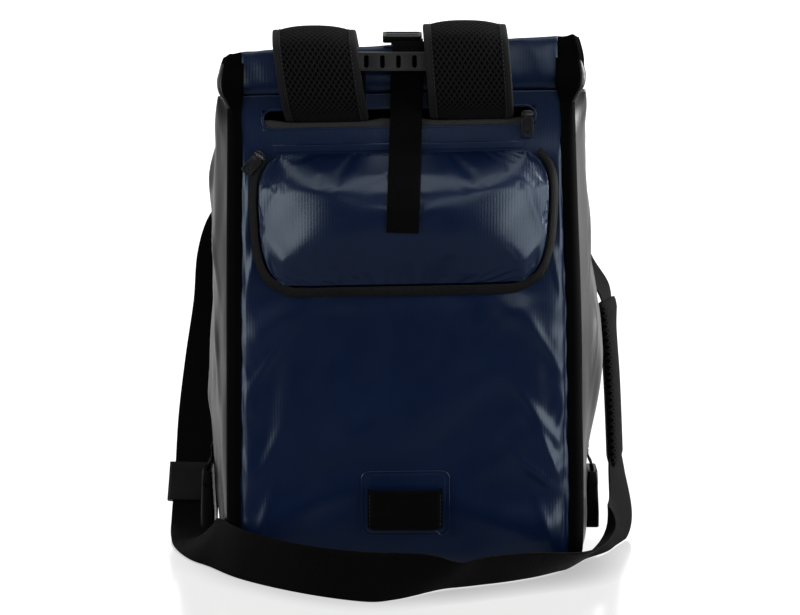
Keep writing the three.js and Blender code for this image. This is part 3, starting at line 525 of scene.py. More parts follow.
# cut through a pad: full in the middle, thinner at its edges
def crownedProfile(width, thickness, edge, columns=17):
    w = width / 2
    a = np.linspace(-1, 1, columns)
    high = thickness / 2 * (edge + (1 - edge) * (1 - np.abs(a) ** 3.2))
    upper = np.stack([a * w, high], axis=-1)
    lower = np.stack([a[::-1] * w, -high[::-1]], axis=-1)
    rim = np.array([[w + thickness * edge * 0.25, 0]])
    return np.concatenate([lower[::-1], rim, upper[::-1], -rim])


# faces between the rings of a tube, and over its two ends where it is capped
def tubeFaces(count, size, first=0, capped=True):
    faces = []
    for start in range(first, first + (count - 1) * size, size):
        for i in range(size):
            n = (i + 1) % size
            faces.append((start + i, start + n, start + size + n, start + size + i))
    if capped:
        last = first + (count - 1) * size
        faces.append(tuple(range(first, first + size))[::-1])
        faces.append(tuple(range(last, last + size)))
    return faces


# sweep of a closed profile, one for all frames or one for each
def sweepObject(name, frames, profile, material):
    count = len(frames["centre"])
    profile = np.broadcast_to(profile, (count,) + np.shape(profile)[-2:])
    verts = (frames["centre"][:, None] + profile[..., :1] * frames["across"][:, None]
             + profile[..., 1:] * frames["through"][:, None])
    length = arcLength(frames["centre"])
    uvs = np.stack([profile[..., 0], np.broadcast_to(length[:, None], profile.shape[:2])], axis=-1)
    faces = tubeFaces(count, profile.shape[1])
    return meshObject(name, verts.reshape(-1, 3), faces, material, uvs=uvs.reshape(-1, 2))


# rows of stitches: short rounded bars along a path that lies on a surface
stitch = {"sides": 6, "first": 0.4, "wide": 1.15, "sink": 0.3,
          "rings": ((0, 0.45), (0.2, 1.0), (0.8, 1.0), (1, 0.45))}


def stitchObject(name, paths, normals, length=2.4, gap=1.0, radius=0.32):
    verts, faces = [], []
    angles = [turn * np.pi / 3 for turn in range(stitch["sides"])]
    for path, normal in zip(paths, normals):
        run = arcLength(path)
        for s in np.arange(stitch["first"], run[-1] - length, length + gap):
            a, b = pathAt(path, run, s), pathAt(path, run, s + length)
            n = unit(pathAt(normal, run, s + length / 2))
            side = np.cross(unit(b - a), n)
            faces += tubeFaces(len(stitch["rings"]), stitch["sides"], len(verts))
            for share, scale in stitch["rings"]:
                raised = radius * stitch["sink"] * (1 if scale == 1.0 else -1)
                for angle in angles:
                    sideways = side * np.cos(angle) * radius * stitch["wide"] * scale
                    verts.append(mix(a, b, share) + sideways + n * (np.sin(angle) * radius * scale + raised))
    return meshObject(name, np.array(verts), faces, thread)


# stitched box with a cross at a sewn strap end
def stitchBox(name, frames, start, stop, width, lift):
    centre, across, through = (frames[key][start:stop] for key in ("centre", "across", "through"))
    reach, points = 0.42, 12
    skinSide, facing = through * lift, through * np.sign(lift)
    edges = [centre + across * width * share + skinSide for share in (-reach, reach)]
    normals = [facing, facing]
    for k in (0, -1):
        line = np.linspace(-reach, reach, points)[:, None] * width
        edges.append(centre[k] + across[k] * line + skinSide[k])
        normals.append(np.repeat(facing[k][None], points, axis=0))
    cross = np.linspace(-reach, reach, len(centre))[:, None] * width
    edges += [centre + across * cross + skinSide, centre - across * cross + skinSide]
    return stitchObject(name, edges, normals + [facing, facing])


# a hard piece: the solid's own mesh with its flat faces joined and its edges rounded; angles in degrees
rounding = {"flat": 2, "edge": 25, "sharp": 38}


def roundedCopy(node, material, width, segments=2, body="bag"):
    work = bmesh.new()
    work.from_mesh(nodes[node].data)
    bmesh.ops.remove_doubles(work, verts=work.verts, dist=1e-6)
    flat = math.radians(rounding["flat"])
    bmesh.ops.dissolve_limit(work, angle_limit=flat, verts=work.verts, edges=work.edges)
    mesh = bpy.data.meshes.new(node + "_rounded")
    work.to_mesh(mesh)
    work.free()
    obj = bpy.data.objects.new(node + "_rounded", mesh)
    scene.collection.objects.link(obj)
    bevel = obj.modifiers.new("edge", "BEVEL")
    bevel.width = width * mm
    bevel.segments = segments
    bevel.limit_method = "ANGLE"
    bevel.angle_limit = math.radians(rounding["edge"])
    bevel.use_clamp_overlap = True
    bpy.context.view_layer.update()
    baked = bpy.data.meshes.new_from_object(obj.evaluated_get(bpy.context.evaluated_depsgraph_get()))
    obj.modifiers.clear()
    obj.data = baked
    baked.materials.clear()
    baked.materials.append(material)
    baked.polygons.foreach_set("use_smooth", [True] * len(baked.polygons))
    baked.set_sharp_from_angle(angle=math.radians(rounding["sharp"]))
    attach(obj, body)
    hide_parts(node)
    return obj


# bag body sections: z, half width, shift, front y, back y, left, right and front bulge, corner radius
bodyTable = denseTable([
    [0.6, 136, 0.7, -68, 68, 9, 6, 0, 11],
    [5, 141, 0.7, -73, 73, 10, 7, 1, 11],
    [16, 144, 0.7, -75, 75, 11, 7, 2, 10],
    [75, 144, 0.5, -75, 76, 16, 8.5, 6, 9],
    [125, 143, 0, -75, 77, 18, 17, 8, 9],
    [188, 142, -0.3, -75, 76, 18, 21, 8, 9],
    [230, 141, -0.8, -75, 73, 18, 17, 7, 9],
    [295, 139, -1.8, -74, 58, 17, 13, 5, 8],
    [345, 137.5, -2.4, -72.5, 22, 14, 12, 3, 7],
    [372, 136.8, -2.7, -70.5, -22, 12, 12, 1, 5],
    [387.65, 136.6, -2.8, -69.5, -50.5, 9, 10, 0.3, 3.5],
])
# soft folds of the front: x, z, direction in degrees, half length, half width, height
frontFolds = [
    [-95, 215, 38, 60, 13, 3.2], [98, 205, 142, 62, 13, 3.4], [50, 150, 40, 75, 15, 2.4],
    [-40, 120, 40, 70, 16, 2], [85, 105, 50, 55, 14, 2.4], [-112, 120, 82, 60, 9, -2.4],
    [118, 150, 98, 60, 9, -2.2], [-70, 60, 20, 50, 12, 1.8], [70, 45, 160, 50, 12, 1.8],
    [-70, 225, 0, 60, 10, -2], [75, 228, 0, 55, 10, -2],
]
# sharper creases that only the dressed cloth has, same columns
frontCreases = [
    [-108, 176, 56, 30, 4.0, 1.1], [112, 186, 120, 30, 4.0, 1.2], [108, 128, 128, 34, 4.4, 1.6],
    [116, 100, 112, 30, 3.6, 1.6], [104, 84, 140, 26, 4.2, 1.3], [-112, 92, 66, 28, 4.2, 1.1],
    [-114, 44, 74, 24, 4.0, 1.0], [114, 40, 108, 24, 4.0, 1.1], [-124, 300, 86, 30, 3.0, 1.0],
    [123, 296, 94, 30, 3.0, 1.0], [-122, 252, 78, 22, 3.0, 1.0], [121, 246, 102, 22, 3.0, 1.0],
    [10, 132, 46, 78, 13, 1.6], [-46, 96, 48, 56, 11, 1.2], [66, 196, 40, 34, 9, 1.0],
]
# soft folds of the sides: side, place from front to back, z, half width, half height, how far out
sideFolds = [
    [-1, 0.45, 250, 0.14, 60, -4], [-1, 0.3, 90, 0.12, 45, -3.5], [-1, 0.6, 160, 0.16, 40, 2.5],
    [1, 0.5, 95, 0.16, 30, -4], [1, 0.4, 140, 0.14, 30, 3], [1, 0.5, 280, 0.15, 60, -4],
]
# ridges of the sides in the dressed cloth: y, then as in the front's tables
sideRidges = [
    [-30, 270, 70, 46, 4.5, 2.0], [6, 230, 110, 52, 5, 2.2], [-36, 180, 80, 44, 4.5, 1.8],
    [10, 140, 60, 40, 5, 1.8], [34, 190, 100, 50, 5, 1.6], [-10, 310, 90, 36, 5, 1.8],
]
bodyLow, bodyTop, rollBottom = 0.6, 387.65, 388.0
clothSkew = 0.019  # the cloth climbs a little to the right


def foldHeight(table, x, z):
    total = np.zeros(np.broadcast(x, z).shape)
    for fx, fz, direction, length, width, height in table:
        angle = math.radians(direction)
        along = (x - fx) * math.cos(angle) + (z - fz) * math.sin(angle)
        across = (z - fz) * math.cos(angle) - (x - fx) * math.sin(angle)
        total = total + height * np.exp(-((along / length) ** 2) - (across / width) ** 2)
    return total


def sideFold(side, t, z):
    total = np.zeros(np.broadcast(t, z).shape)
    for which, ft, fz, width, tall, height in sideFolds:
        if which == side:
            total = total + height * np.exp(-(((t - ft) / width) ** 2) - ((z - fz) / tall) ** 2)
    return total


def skewed(x, z):
    return z + x * clothSkew * smooth(0, 220, z)


# outer cloth: p is -1..1 over the front, 2..3 right side, 4..6 back, 7..8 left side, corners between
def skin(p, z):
    p, z = (np.array(v, float) for v in np.broadcast_arrays(p, z))
    half, shift, front, back, bulgeLeft, bulgeRight, bulgeFront, radius = tableAt(bodyTable, z)
    inner = half - radius
    q = np.mod(p + 2, 10) - 2
    quarter = np.pi / 2
    fade = between(z, 2, 30, 340, 380)
    x, y = np.zeros_like(z), np.zeros_like(z)
    regions = [q < -1, (q >= -1) & (q <= 1), (q > 1) & (q < 2), (q >= 2) & (q <= 3), (q > 3) & (q < 4),
               (q >= 4) & (q <= 6), (q > 6) & (q < 7), q >= 7]
    frontX = q * inner
    folds = fade * (1 - np.abs(q) ** 8) * foldHeight(frontFolds, frontX, z)
    places = [
        (-inner - radius * np.cos(quarter * (q + 2)), front + radius - radius * np.sin(quarter * (q + 2))),
        (frontX, front - bulgeFront * (1 - q * q) - folds),
        (inner + radius * np.sin(quarter * (q - 1)), front + radius - radius * np.cos(quarter * (q - 1))),
        (half + np.sin(np.pi * (q - 2)) * (bulgeRight + fade * sideFold(1, q - 2, z)),
         mix(front + radius, back - radius, q - 2)),
        (inner + radius * np.cos(quarter * (q - 3)), back - radius + radius * np.sin(quarter * (q - 3))),
        ((5 - q) * inner, back + 0.6 * bulgeFront * (1 - (5 - q) ** 2)),
        (-inner - radius * np.sin(quarter * (q - 6)), back - radius + radius * np.cos(quarter * (q - 6))),
        (-half - np.sin(np.pi * (q - 7)) * (bulgeLeft + fade * sideFold(-1, 8 - q, z)),
         mix(back - radius, front + radius, q - 7)),
    ]
    for region, (px, py) in zip(regions, places):
        x = np.where(region, px, x)
        y = np.where(region, py, y)
    return np.stack([x + shift, y, skewed(x + shift, z)], axis=-1)


def frontPlace(x, z):
    half, shift, *_, radius = tableAt(bodyTable, z)
    return (x - shift) / (half - radius)


def frontAt(x, z):
    return skin(frontPlace(x, z), z)


def backAt(x, z):
    return skin(5 - frontPlace(x, z), z)


# creases, and crumples along the seam tapes, outward from the front cloth
crumples = {"left": -131.0, "right": 130.0, "base": 0.35, "pucker": 1.4, "puckerReach": 11.0,
            "humpRight": 5.2, "humpLeft": 1.9, "reachRight": 7.5, "reachLeft": 12.5}


def frontDetail(x, z):
    onRight = x > 0
    fade = between(z, 4, 26, 330, 366)
    edge = np.minimum(np.abs(x - crumples["left"]), np.abs(x - crumples["right"]))
    zone = crumples["base"] + np.where(onRight, 0.85 * bell(z, 112, 52), 0.4 * bell(z, 150, 70))
    slant = z + 0.9 * edge
    crumple = 0.5 + 0.5 * wander(slant, edge * 0.6, 40, 31) + 0.22 * wander(slant, edge, 17, 37)
    pucker = bell(edge, 0, crumples["puckerReach"]) * zone * crumple
    humpRight = crumples["humpRight"] + 0.8 * bell(z, 112, 50) + 1.7 * wander(z, edge * 0.3, 40, 51)
    humpLeft = crumples["humpLeft"] + wander(z, edge * 0.3, 56, 57)
    riseRight = (1 - np.exp(-edge / crumples["reachRight"])) * (1 - smooth(8, 80, edge))
    riseLeft = (edge / crumples["reachLeft"]) * np.exp(1 - edge / crumples["reachLeft"])
    lower = np.where(onRight, 1 - 0.6 * smooth(255, 310, z), 1)  # flatter beside the pocket
    hump = np.maximum(0, np.where(onRight, humpRight, humpLeft))
    hump = hump * np.where(onRight, riseRight, riseLeft) * lower
    soft = 0.4 * wander(x, z * 0.6, 80, 3) + 0.12 * wander(x, z * 0.8, 34, 9)
    creases = foldHeight(frontCreases, x, z)
    return fade * (creases + crumples["pucker"] * pucker + hump + soft * smooth(6, 30, edge))


# carry strap: sewn on the back, down the left, on edge along the floor, up the right
carry = {"width": 40.0, "columns": 13, "floor": 0.4, "count": 420, "lift": 1.9}


def sewn(x, z):
    return [x, float(backAt(x, z)[1]) + carry["lift"], float(skewed(x, z))]


carryPath = [
    [*sewn(-103, 297), 0.45, 0.3, -0.9], [*sewn(-124, 284), 0.5, 0.27, -0.88],
    [-147, 82, 262, 0.75, 0, -0.65], [-158, 89, 232, 1, 0, 0], [-162, 90, 190, 1, 0, 0],
    [-170, 88, 140, 1, -0.1, 0], [-176, 80, 92, 1, -0.15, 0], [-178.5, 68, 48, 1, -0.15, 0.02],
    [-180, 47, 12, 1, 0, 0.05], [-177.5, 13, 3.8, 0.96, 0.28, 0.03], [-168.5, -34, 12.5, 0.62, 0.35, 0.65],
    [-155, -64, 18.5, 0.3, 0.15, 0.94], [-128, -105, 20, 0.12, 0.08, 0.99], [-78, -147, 20.6, 0, 0, 1],
    [-32, -167, 20.6, 0, 0.05, 1], [-8, -165, 20.2, 0.05, -0.1, 1], [14, -156.5, 18.8, 0.15, -0.35, 0.93],
    [37, -146.5, 15.5, 0.32, -0.62, 0.72], [60, -136.5, 15.6, 0.25, -0.6, 0.76],
    [98, -120, 15.4, 0.35, -0.6, 0.75], [138, -95, 13, 0.25, -0.78, 0.52], [160, -55, 12, 0, -0.93, 0.36],
    [173, -12, 14, -0.3, -0.85, 0.42], [184, 28, 25, -0.5, -0.75, 0.42], [183, 58, 54, -0.35, -0.92, 0.15],
    [181, 76, 90, -0.15, -1, 0], [179, 79, 128, -0.15, -1, 0], [176, 81, 166, -0.15, -1, 0],
    [172, 84, 202, -0.3, -1, 0], [152, 93, 230, -0.55, -0.85, 0], [137, 88, 260, -0.75, -0.3, -0.55],
    [*sewn(124, 284), -0.5, 0.27, -0.88], [*sewn(103, 297), -0.45, 0.3, -0.9],
]
carryFrames = strapFrames(carryPath, carry["count"])
acrossHigh, throughHigh = (np.abs(carryFrames[key][:, 2]) for key in ("across", "through"))
reach = (acrossHigh * carry["width"] + throughHigh * web["thickness"]) / 2
carryFrames["centre"][:, 2] = np.maximum(carryFrames["centre"][:, 2], reach + carry["floor"])
carryProfile = webbingProfile(carry["width"], carry["columns"])
carryStrap = sweepObject("carry_webbing", carryFrames, carryProfile, webbing)
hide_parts("carry_strap")

# padded sleeve on the carry strap, crowned, a little narrower at its ends
sleeve = {"width": 60.0, "thickness": 13.0, "edge": 0.45, "from": 1.0, "to": 4.8, "count": 130,
          "endWidth": 0.96, "endThickness": 0.55, "endSteps": 4}
sleevePath = [[184, 71, 15, -0.15, -1, 0], [182.6, 73.5, 53, -0.15, -1, 0]] + carryPath[25:31]
sleeveFrames = strapFrames(sleevePath, sleeve["count"])
row = sleeveFrames["t"] * (len(sleevePath) - 1)
covered = (row > sleeve["from"]) & (row < sleeve["to"])
sleeveFrames = {key: value[covered] for key, value in sleeveFrames.items()}
steps = np.arange(covered.sum())
profiles = np.stack([
    crownedProfile(sleeve["width"] * mix(sleeve["endWidth"], 1, s),
                   sleeve["thickness"] * mix(sleeve["endThickness"], 1, math.sqrt(s)), sleeve["edge"])
    for s in np.minimum(1, np.minimum(steps, steps[::-1]) / sleeve["endSteps"])])
carryPad = sweepObject("carry_pad_sleeve", sleeveFrames, profiles, spacerMesh)
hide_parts("carry_pad")
roundedCopy("carry_adjuster", plastic, width=1.6, segments=3)

# bag cloth
clothThickness = 1.5
tucked = 0.9  # cloth that goes up into the roll
lap = 0.47  # how far a panel goes round the corner, of the whole corner
slot = {"left": -112.0, "right": 103.0, "low": 362.0, "high": 376.5}
slotMiddle = (slot["low"] + slot["high"]) / 2
slotPlaces = [float(frontPlace(slot[k], slotMiddle)) for k in ("left", "right")]
flattened = {"x": 0.8, "z": 57.0, "halfWidth": 46.0, "halfHeight": 36.0, "share": 0.75}  # by the welded patch


def dressedFront(x, z):
    point = frontAt(x, z)
    share = np.abs(frontPlace(x, z))
    patchX = (np.asarray(x) - flattened["x"]) / flattened["halfWidth"]
    patchZ = (np.asarray(z) - flattened["z"]) / flattened["halfHeight"]
    stiff = 1 - flattened["share"] * np.exp(-(patchX ** 4) - patchZ ** 4)
    point[..., 1] -= frontDetail(point[..., 0], z) * (1 - smooth(0.955, 0.985, share)) * stiff
    return point


def frontSurface(p, z):
    half, shift, *_, radius = tableAt(bodyTable, z)
    inside = np.abs(p) <= 1
    x = np.where(inside, p, 0) * (half - radius) + shift
    return np.where(inside[..., None], dressedFront(x, z), skin(p, z))


ps = np.unique(np.concatenate([
    np.linspace(-1 - lap, -1, 8), np.linspace(-1, slotPlaces[0], 22), np.linspace(*slotPlaces, 150),
    np.linspace(slotPlaces[1], 1, 28), np.linspace(1, 1 + lap, 8)]))
zs = np.unique(np.concatenate([
    np.linspace(bodyLow, slot["low"], 210), np.linspace(slot["low"], slot["high"], 7),
    np.linspace(slot["high"], bodyTop + tucked, 12)]))
midP, midZ = (ps[1:] + ps[:-1]) / 2, (zs[1:] + zs[:-1]) / 2
openCells = ((midP[None] > slotPlaces[0]) & (midP[None] < slotPlaces[1])
             & (midZ[:, None] > slot["low"]) & (midZ[:, None] < slot["high"]))
frontGrid = frontSurface(*np.meshgrid(ps, zs))
frontCloth = clothObject("front_cloth", frontGrid, navyCloth, clothThickness, keep=~openCells)
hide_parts("front_panel")


# places across a panel whose edges are lapped round the corners
def panelPlaces(start, stop, count):
    return np.concatenate([np.linspace(start - lap, start, 7)[:-1], np.linspace(start, stop, count),
                           np.linspace(stop, stop + lap, 7)[1:]])


# the sewn tab keeps the side smooth around it
calmSide = {"place": 0.58, "halfWidth": 0.22, "z": 60.0, "halfHeight": 62.0, "share": 0.85}


def sideSurface(p, z, side):
    point = skin(p, z)
    t = np.where(side > 0, p - 2, 8 - p)
    inside = np.clip(np.sin(np.pi * np.clip(t, 0, 1)), 0, 1)
    fade = between(z, 6, 30, 340, 392) * inside ** 0.7
    tabT, tabZ = (t - calmSide["place"]) / calmSide["halfWidth"], (z - calmSide["z"]) / calmSide["halfHeight"]
    calm = 1 - calmSide["share"] * np.exp(-(tabT ** 4) - tabZ ** 4)
    deep = point[..., 1]
    ripple = 1.5 * wander(deep, z * 0.2, 44, 21 + side) + 0.6 * wander(deep * 1.3, z * 0.3, 26, 41 + side)
    point[..., 0] += side * fade * calm * (ripple + foldHeight(sideRidges, deep, z))
    return point


for name, start, side in (("right", 2.0, 1), ("left", 7.0, -1)):
    gridP, gridZ = np.meshgrid(panelPlaces(start, start + 1, 54), np.linspace(bodyLow, bodyTop, 170))
    gusset = clothObject("side_cloth_" + name, sideSurface(gridP, gridZ, side), blackCloth, clothThickness)
    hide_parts("side_panel_" + name)

gridP, gridZ = np.meshgrid(panelPlaces(4, 6, 80), np.linspace(bodyLow, bodyTop + tucked, 130))
backGrid = skin(gridP, gridZ)
inBack = (gridP >= 4) & (gridP <= 6)
dent = np.where(inBack, -0.55 * np.abs(wander(backGrid[..., 0], gridZ * 0.8, 60, 77)), 0)
backGrid[..., 1] += dent * between(gridZ, 8, 40, 330, 380) * (1 - np.abs(5 - gridP) ** 8)
backCloth = clothObject("back_cloth", backGrid, navyCloth, clothThickness)
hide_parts("back_panel")

# the base keeps its solid, in the black cloth
nodes["base_panel"].data.materials.clear()
nodes["base_panel"].data.materials.append(blackCloth)
print("stage: bag cloth")

# seam tapes over the two front corners, thin and pressed, with a slightly wavering inner edge
tape = {"width": 11.0, "thickness": 0.9, "lift": 1.25, "low": 12.0, "round": 0.93}


def tapeSurface(u, z, side):
    half, *_, radius = tableAt(bodyTable, z)
    waver = 0.35 * np.sin(z * 0.21 + side) + 0.3 * np.sin(z * 0.083 + 2)
    start = (half - tape["width"] + waver * (u < -0.5)) / (half - radius)
    p = np.where(u < 0, mix(start, 1.0, u + 1), 1 + u)
    return skin(side * p, z)


for name, side in (("right", 1), ("left", -1)):
    us = np.concatenate([np.linspace(-1, 0, 5)[:-1], np.linspace(0, tape["round"], 14)])
    grid = tapeSurface(*np.meshgrid(us, np.linspace(tape["low"], bodyTop - 0.4, 200)), side)[:, ::side]
    seamTape = clothObject("seam_binding_" + name, grid, tapeCloth, tape["thickness"], tape["lift"])
    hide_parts("seam_tape_" + name)

# roll top
roll = {"y": -61.5, "square": 0.7, "halfDepth": 12.5, "lowHalf": 17.3, "highHalf": 22.4, "slope": 7.5,
        "turns": 2, "perTurn": 60, "start": -1.62, "layer": 1.9, "pitch": 2.6, "left": -147.0, "right": 142.0,
        "clothLeft": -128.7, "clothRight": 120.7, "columns": 130, "endColumns": 22, "endGap": 0.35,
        "endShrink": 2.5, "endTuck": 5.5}
rollFront = roll["y"] - roll["halfDepth"]


def rollLow(x):
    return skewed(x, rollBottom)


def rollHalf(x):
    share = (np.asarray(x, float) - roll["left"]) / (roll["right"] - roll["left"])
    return mix(roll["lowHalf"], roll["highHalf"], np.clip(share, 0, 1))


def rollRings(xs, shrink):
    xs = np.asarray(xs, float)[:, None]
    shrink = np.asarray(shrink, float).reshape(-1, 1)
    half = rollHalf(xs) - shrink
    middle = rollLow(xs) + rollHalf(xs)
    turns = np.arange(roll["turns"] * roll["perTurn"] + 1)[None]
    angle = roll["start"] - 2 * np.pi * turns / roll["perTurn"]
    boxCos, boxSin = boxed(np.cos(angle), roll["square"]), boxed(np.sin(angle), roll["square"])
    endCrease = 0.4 * np.sin(xs * 0.31 + 3 * np.sin(angle)) * bell(np.abs(xs + 4), 126, 16)
    crease = np.minimum(0.25 + 0.7 * wander(xs, angle * 11, 46, 5) + endCrease, 0.45)
    sag = 0.8 * np.sin(xs * 0.045) * np.maximum(0, np.sin(angle))
    slope = roll["slope"] * (0.5 + 0.5 * boxSin) * np.maximum(0, -boxCos)
    layers = []
    for offset in (0.0, roll["layer"]):
        inward = roll["pitch"] * turns / roll["perTurn"] + offset - crease
        y = roll["y"] + (roll["halfDepth"] - shrink - inward) * boxCos + slope
        z = middle + (half - inward) * boxSin + sag
        layers.append(np.stack([np.broadcast_to(xs, y.shape), y, z], axis=-1))
    return np.concatenate([layers[0], layers[1][:, ::-1]], axis=1)


# rolled cloth: rings that go in and back out, closed at both ends by a strip
def ringsObject(name, rings, material):
    count, size, _ = rings.shape
    faces = tubeFaces(count, size, capped=False)
    for k, turn in ((0, 1), (count - 1, -1)):
        for i in range(size // 2 - 1):
            face = (k * size + i, k * size + size - 1 - i, k * size + size - 2 - i, k * size + i + 1)
            faces.append(face[::turn])
    return meshObject(name, rings.reshape(-1, 3), faces, material)


rollXs = np.linspace(roll["clothLeft"], roll["clothRight"], roll["columns"])
rolledCloth = ringsObject("rolled_cloth", rollRings(rollXs, np.zeros(roll["columns"])), navyCloth)
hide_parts("roll_top")
for name, start, stop, sign in (("left", roll["left"], roll["clothLeft"] - roll["endGap"], 1),
                                ("right", roll["clothRight"] + roll["endGap"], roll["right"], -1)):
    xs = np.linspace(start, stop, roll["endColumns"])
    ends = np.abs(xs - roll[name])
    endRings = rollRings(xs, roll["endShrink"] * (1 - smooth(0, 5, ends)))
    height = (endRings[..., 2] - (rollLow(xs) + rollHalf(xs))[:, None]) / rollHalf(xs)[:, None]
    tuck = sign * roll["endTuck"] * (1 - smooth(0, 16, ends))[:, None]
    endRings[..., 0] += tuck * np.clip(height, 0, 1) ** 1.6
    rollEnd = ringsObject("rolled_end_" + name, endRings, tapeCloth)
    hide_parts("roll_end_" + name)

# where the seam tape runs on up over the end of the roll
cover = {"from": 374.0, "to": 414.0, "lift": 1.5, "corner": 6.0, "thickness": 0.8, "overlap": 1.5,
         "rows": 46, "columns": 22, "tapeColumns": 15}
coverUs = np.linspace(-1, tape["round"], cover["columns"])
coverZs = np.linspace(cover["from"], cover["to"], cover["rows"])
corner = cover["corner"]
for name, side, nearCloth in (("right", 1, "clothRight"), ("left", -1, "clothLeft")):
    gridU, gridZ = np.meshgrid(coverUs, coverZs)
    below = tapeSurface(gridU, np.minimum(gridZ, bodyTop), side)
    inner, outer = roll[nearCloth] - side * cover["overlap"], roll[name]
    flat, turn = np.clip(gridU + 1, 0, 1), np.clip(gridU, 0, 1) * np.pi / 2
    frontX, cornerX = mix(inner, outer - side * corner, flat), outer - side * corner * (1 - np.sin(turn))
    x = np.where(gridU < 0, frontX, cornerX)
    y = rollFront + corner * (1 - np.cos(turn)) + roll["slope"] * 0.5 * smooth(386, 426, gridZ)
    above = np.stack([x, y, skewed(x, gridZ)], axis=-1)
    grid = mix(below, above, smooth(376, 398, gridZ)[..., None])
    sink = 3.2 * smooth(400, cover["to"], gridZ) + 1.3 * (1 - smooth(cover["from"], 384, gridZ))
    grid[..., 1] += sink * np.cos(turn)
    grid[..., 0] -= side * sink * np.sin(turn)
    # the tape in front, the side cloth round the corner
    columns = cover["tapeColumns"]
    for piece, half, material in (("seam_top_", grid[:, :columns], tapeCloth),
                                  ("side_top_", grid[:, columns - 1:], blackCloth)):
        topPiece = clothObject(piece + name, half[:, ::side], material, cover["thickness"], cover["lift"])
print("stage: roll top")


# outline of a rounded rectangle, as x and z offsets from its middle
def roundedOutline(width, height, corner, count):
    middleX, middleZ = (width - 2 * corner) / 2, (height - 2 * corner) / 2
    points = []
    for sx, sz, start in ((1, -1, -90), (1, 1, 0), (-1, 1, 90), (-1, -1, 180)):
        for turn in np.linspace(0, 90, 14):
            angle = math.radians(start + turn)
            points.append((sx * middleX + corner * math.cos(angle), sz * middleZ + corner * math.sin(angle)))
    points = np.array(points + points[:1])
    run = arcLength(points)
    return pathAt(points, run, np.linspace(0, run[-1], count + 1))


# coil of a zip: a thin run of close turns
def coilObject(name, path, material, radius, pitch):
    run = arcLength(path)
    s = np.arange(0, run[-1], pitch / 5)
    centre = pathAt(path, run, s)
    along = unit(np.gradient(centre, axis=0))
    across = unit(np.cross(along, np.array([0.0, 1.0, 0.0])))
    size = radius * (0.72 + 0.28 * np.cos(2 * np.pi * s / pitch))
    angle = np.arange(8)[None] * np.pi / 4
    profile = np.stack([np.cos(angle) * size[:, None] * 1.5, np.sin(angle) * size[:, None]], axis=-1)
    frames = {"centre": centre, "across": across, "through": np.cross(along, across)}
    return sweepObject(name, frames, profile, material)


# stow slot: welded rim with round ends, lower zip tape and its coil
slotRim = {"overlap": 1.3, "inside": 1.0, "cornerIn": 6.4, "cornerOut": 8.2, "count": 260,
           "thickness": 0.8, "lift": 0.55}
slotZip = {"margin": 1.0, "high": 368.6, "dip": 2.2, "pads": (-61.5, 53.0), "padReach": 38.0,
           "thickness": 1.1, "lift": -0.25, "coil": 0.8, "coilPitch": 1.7}
slotX = (slot["left"] + slot["right"]) / 2
slotWide, slotTall = slot["right"] - slot["left"], slot["high"] - slot["low"]
outlines = [roundedOutline(slotWide + more, slotTall + more, slotRim[key], slotRim["count"])[None]
            for more, key in ((-slotRim["inside"], "cornerIn"), (2 * slotRim["overlap"], "cornerOut"))]
rimPlan = mix(*outlines, np.linspace(0, 1, 6)[:, None, None])
rimGrid = dressedFront(slotX + rimPlan[..., 0], slotMiddle + rimPlan[..., 1])[:, ::-1]
clothObject("slot_rim", rimGrid, navyCloth, slotRim["thickness"], slotRim["lift"])
tapeXs = np.linspace(slot["left"] + slotZip["margin"], slot["right"] - slotZip["margin"], 160)
nearPads = np.maximum(*(bell(tapeXs, middle, slotZip["padReach"], 8) for middle in slotZip["pads"]))
tapeHigh = slotZip["high"] - slotZip["dip"] * nearPads
gridX, tapeShare = np.meshgrid(tapeXs, np.linspace(0, 1, 6))
gridZ = mix(slot["low"] + 0.4, tapeHigh[None], tapeShare)
slotTape = clothObject("slot_tape", frontAt(gridX, gridZ), zipTape, slotZip["thickness"], slotZip["lift"],
                       uvs=np.stack([gridZ, gridX], axis=-1))
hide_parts("slot_zip_tape")
coilPath = frontAt(tapeXs, tapeHigh - 0.2)
coilPath[:, 1] += 0.9
coilObject("slot_coil", coilPath, plastic, slotZip["coil"], slotZip["coilPitch"])

# pocket on the front
pocket = {"middle": -0.8, "low": 239.0, "high": 342.0, "rim": 10.0, "topRim": 1.6, "bulge": 31.0,
          "thickness": 1.4}
pocketRun = {"side": 58.0, "low": 46.0, "high": 30.0, "blend": 4.0}
pocketSettle = {"pressure": 3.0, "slack": 0.008, "bending": 2.0, "quality": 6, "mass": 0.15, "frames": 20,
                "cap": 0.8}
# share of its height and half width there
pocketTable = denseTable([
    [0, 95], [0.07, 103], [0.16, 108.5], [0.32, 112.5], [0.5, 114], [0.68, 114.5], [0.84, 112.5],
    [0.94, 106], [1, 97],
])
pocketCreases = [
    [-98, 262, 128, 20, 3.4, 1.0], [96, 258, 52, 20, 3.4, 1.1], [102, 298, 108, 22, 3.6, 1.3],
    [92, 322, 140, 20, 3.8, 1.0], [-102, 312, 64, 22, 3.6, 1.0], [-90, 328, 30, 22, 3.6, 0.9],
    [7, 248, 92, 9, 3.4, -2.2], [-34, 250, 14, 26, 4.2, 0.7], [44, 250, 166, 26, 4.2, 0.7],
]


def pocketRim(v):
    return mix(pocket["rim"], pocket["topRim"], smooth(0.72, 1, v))


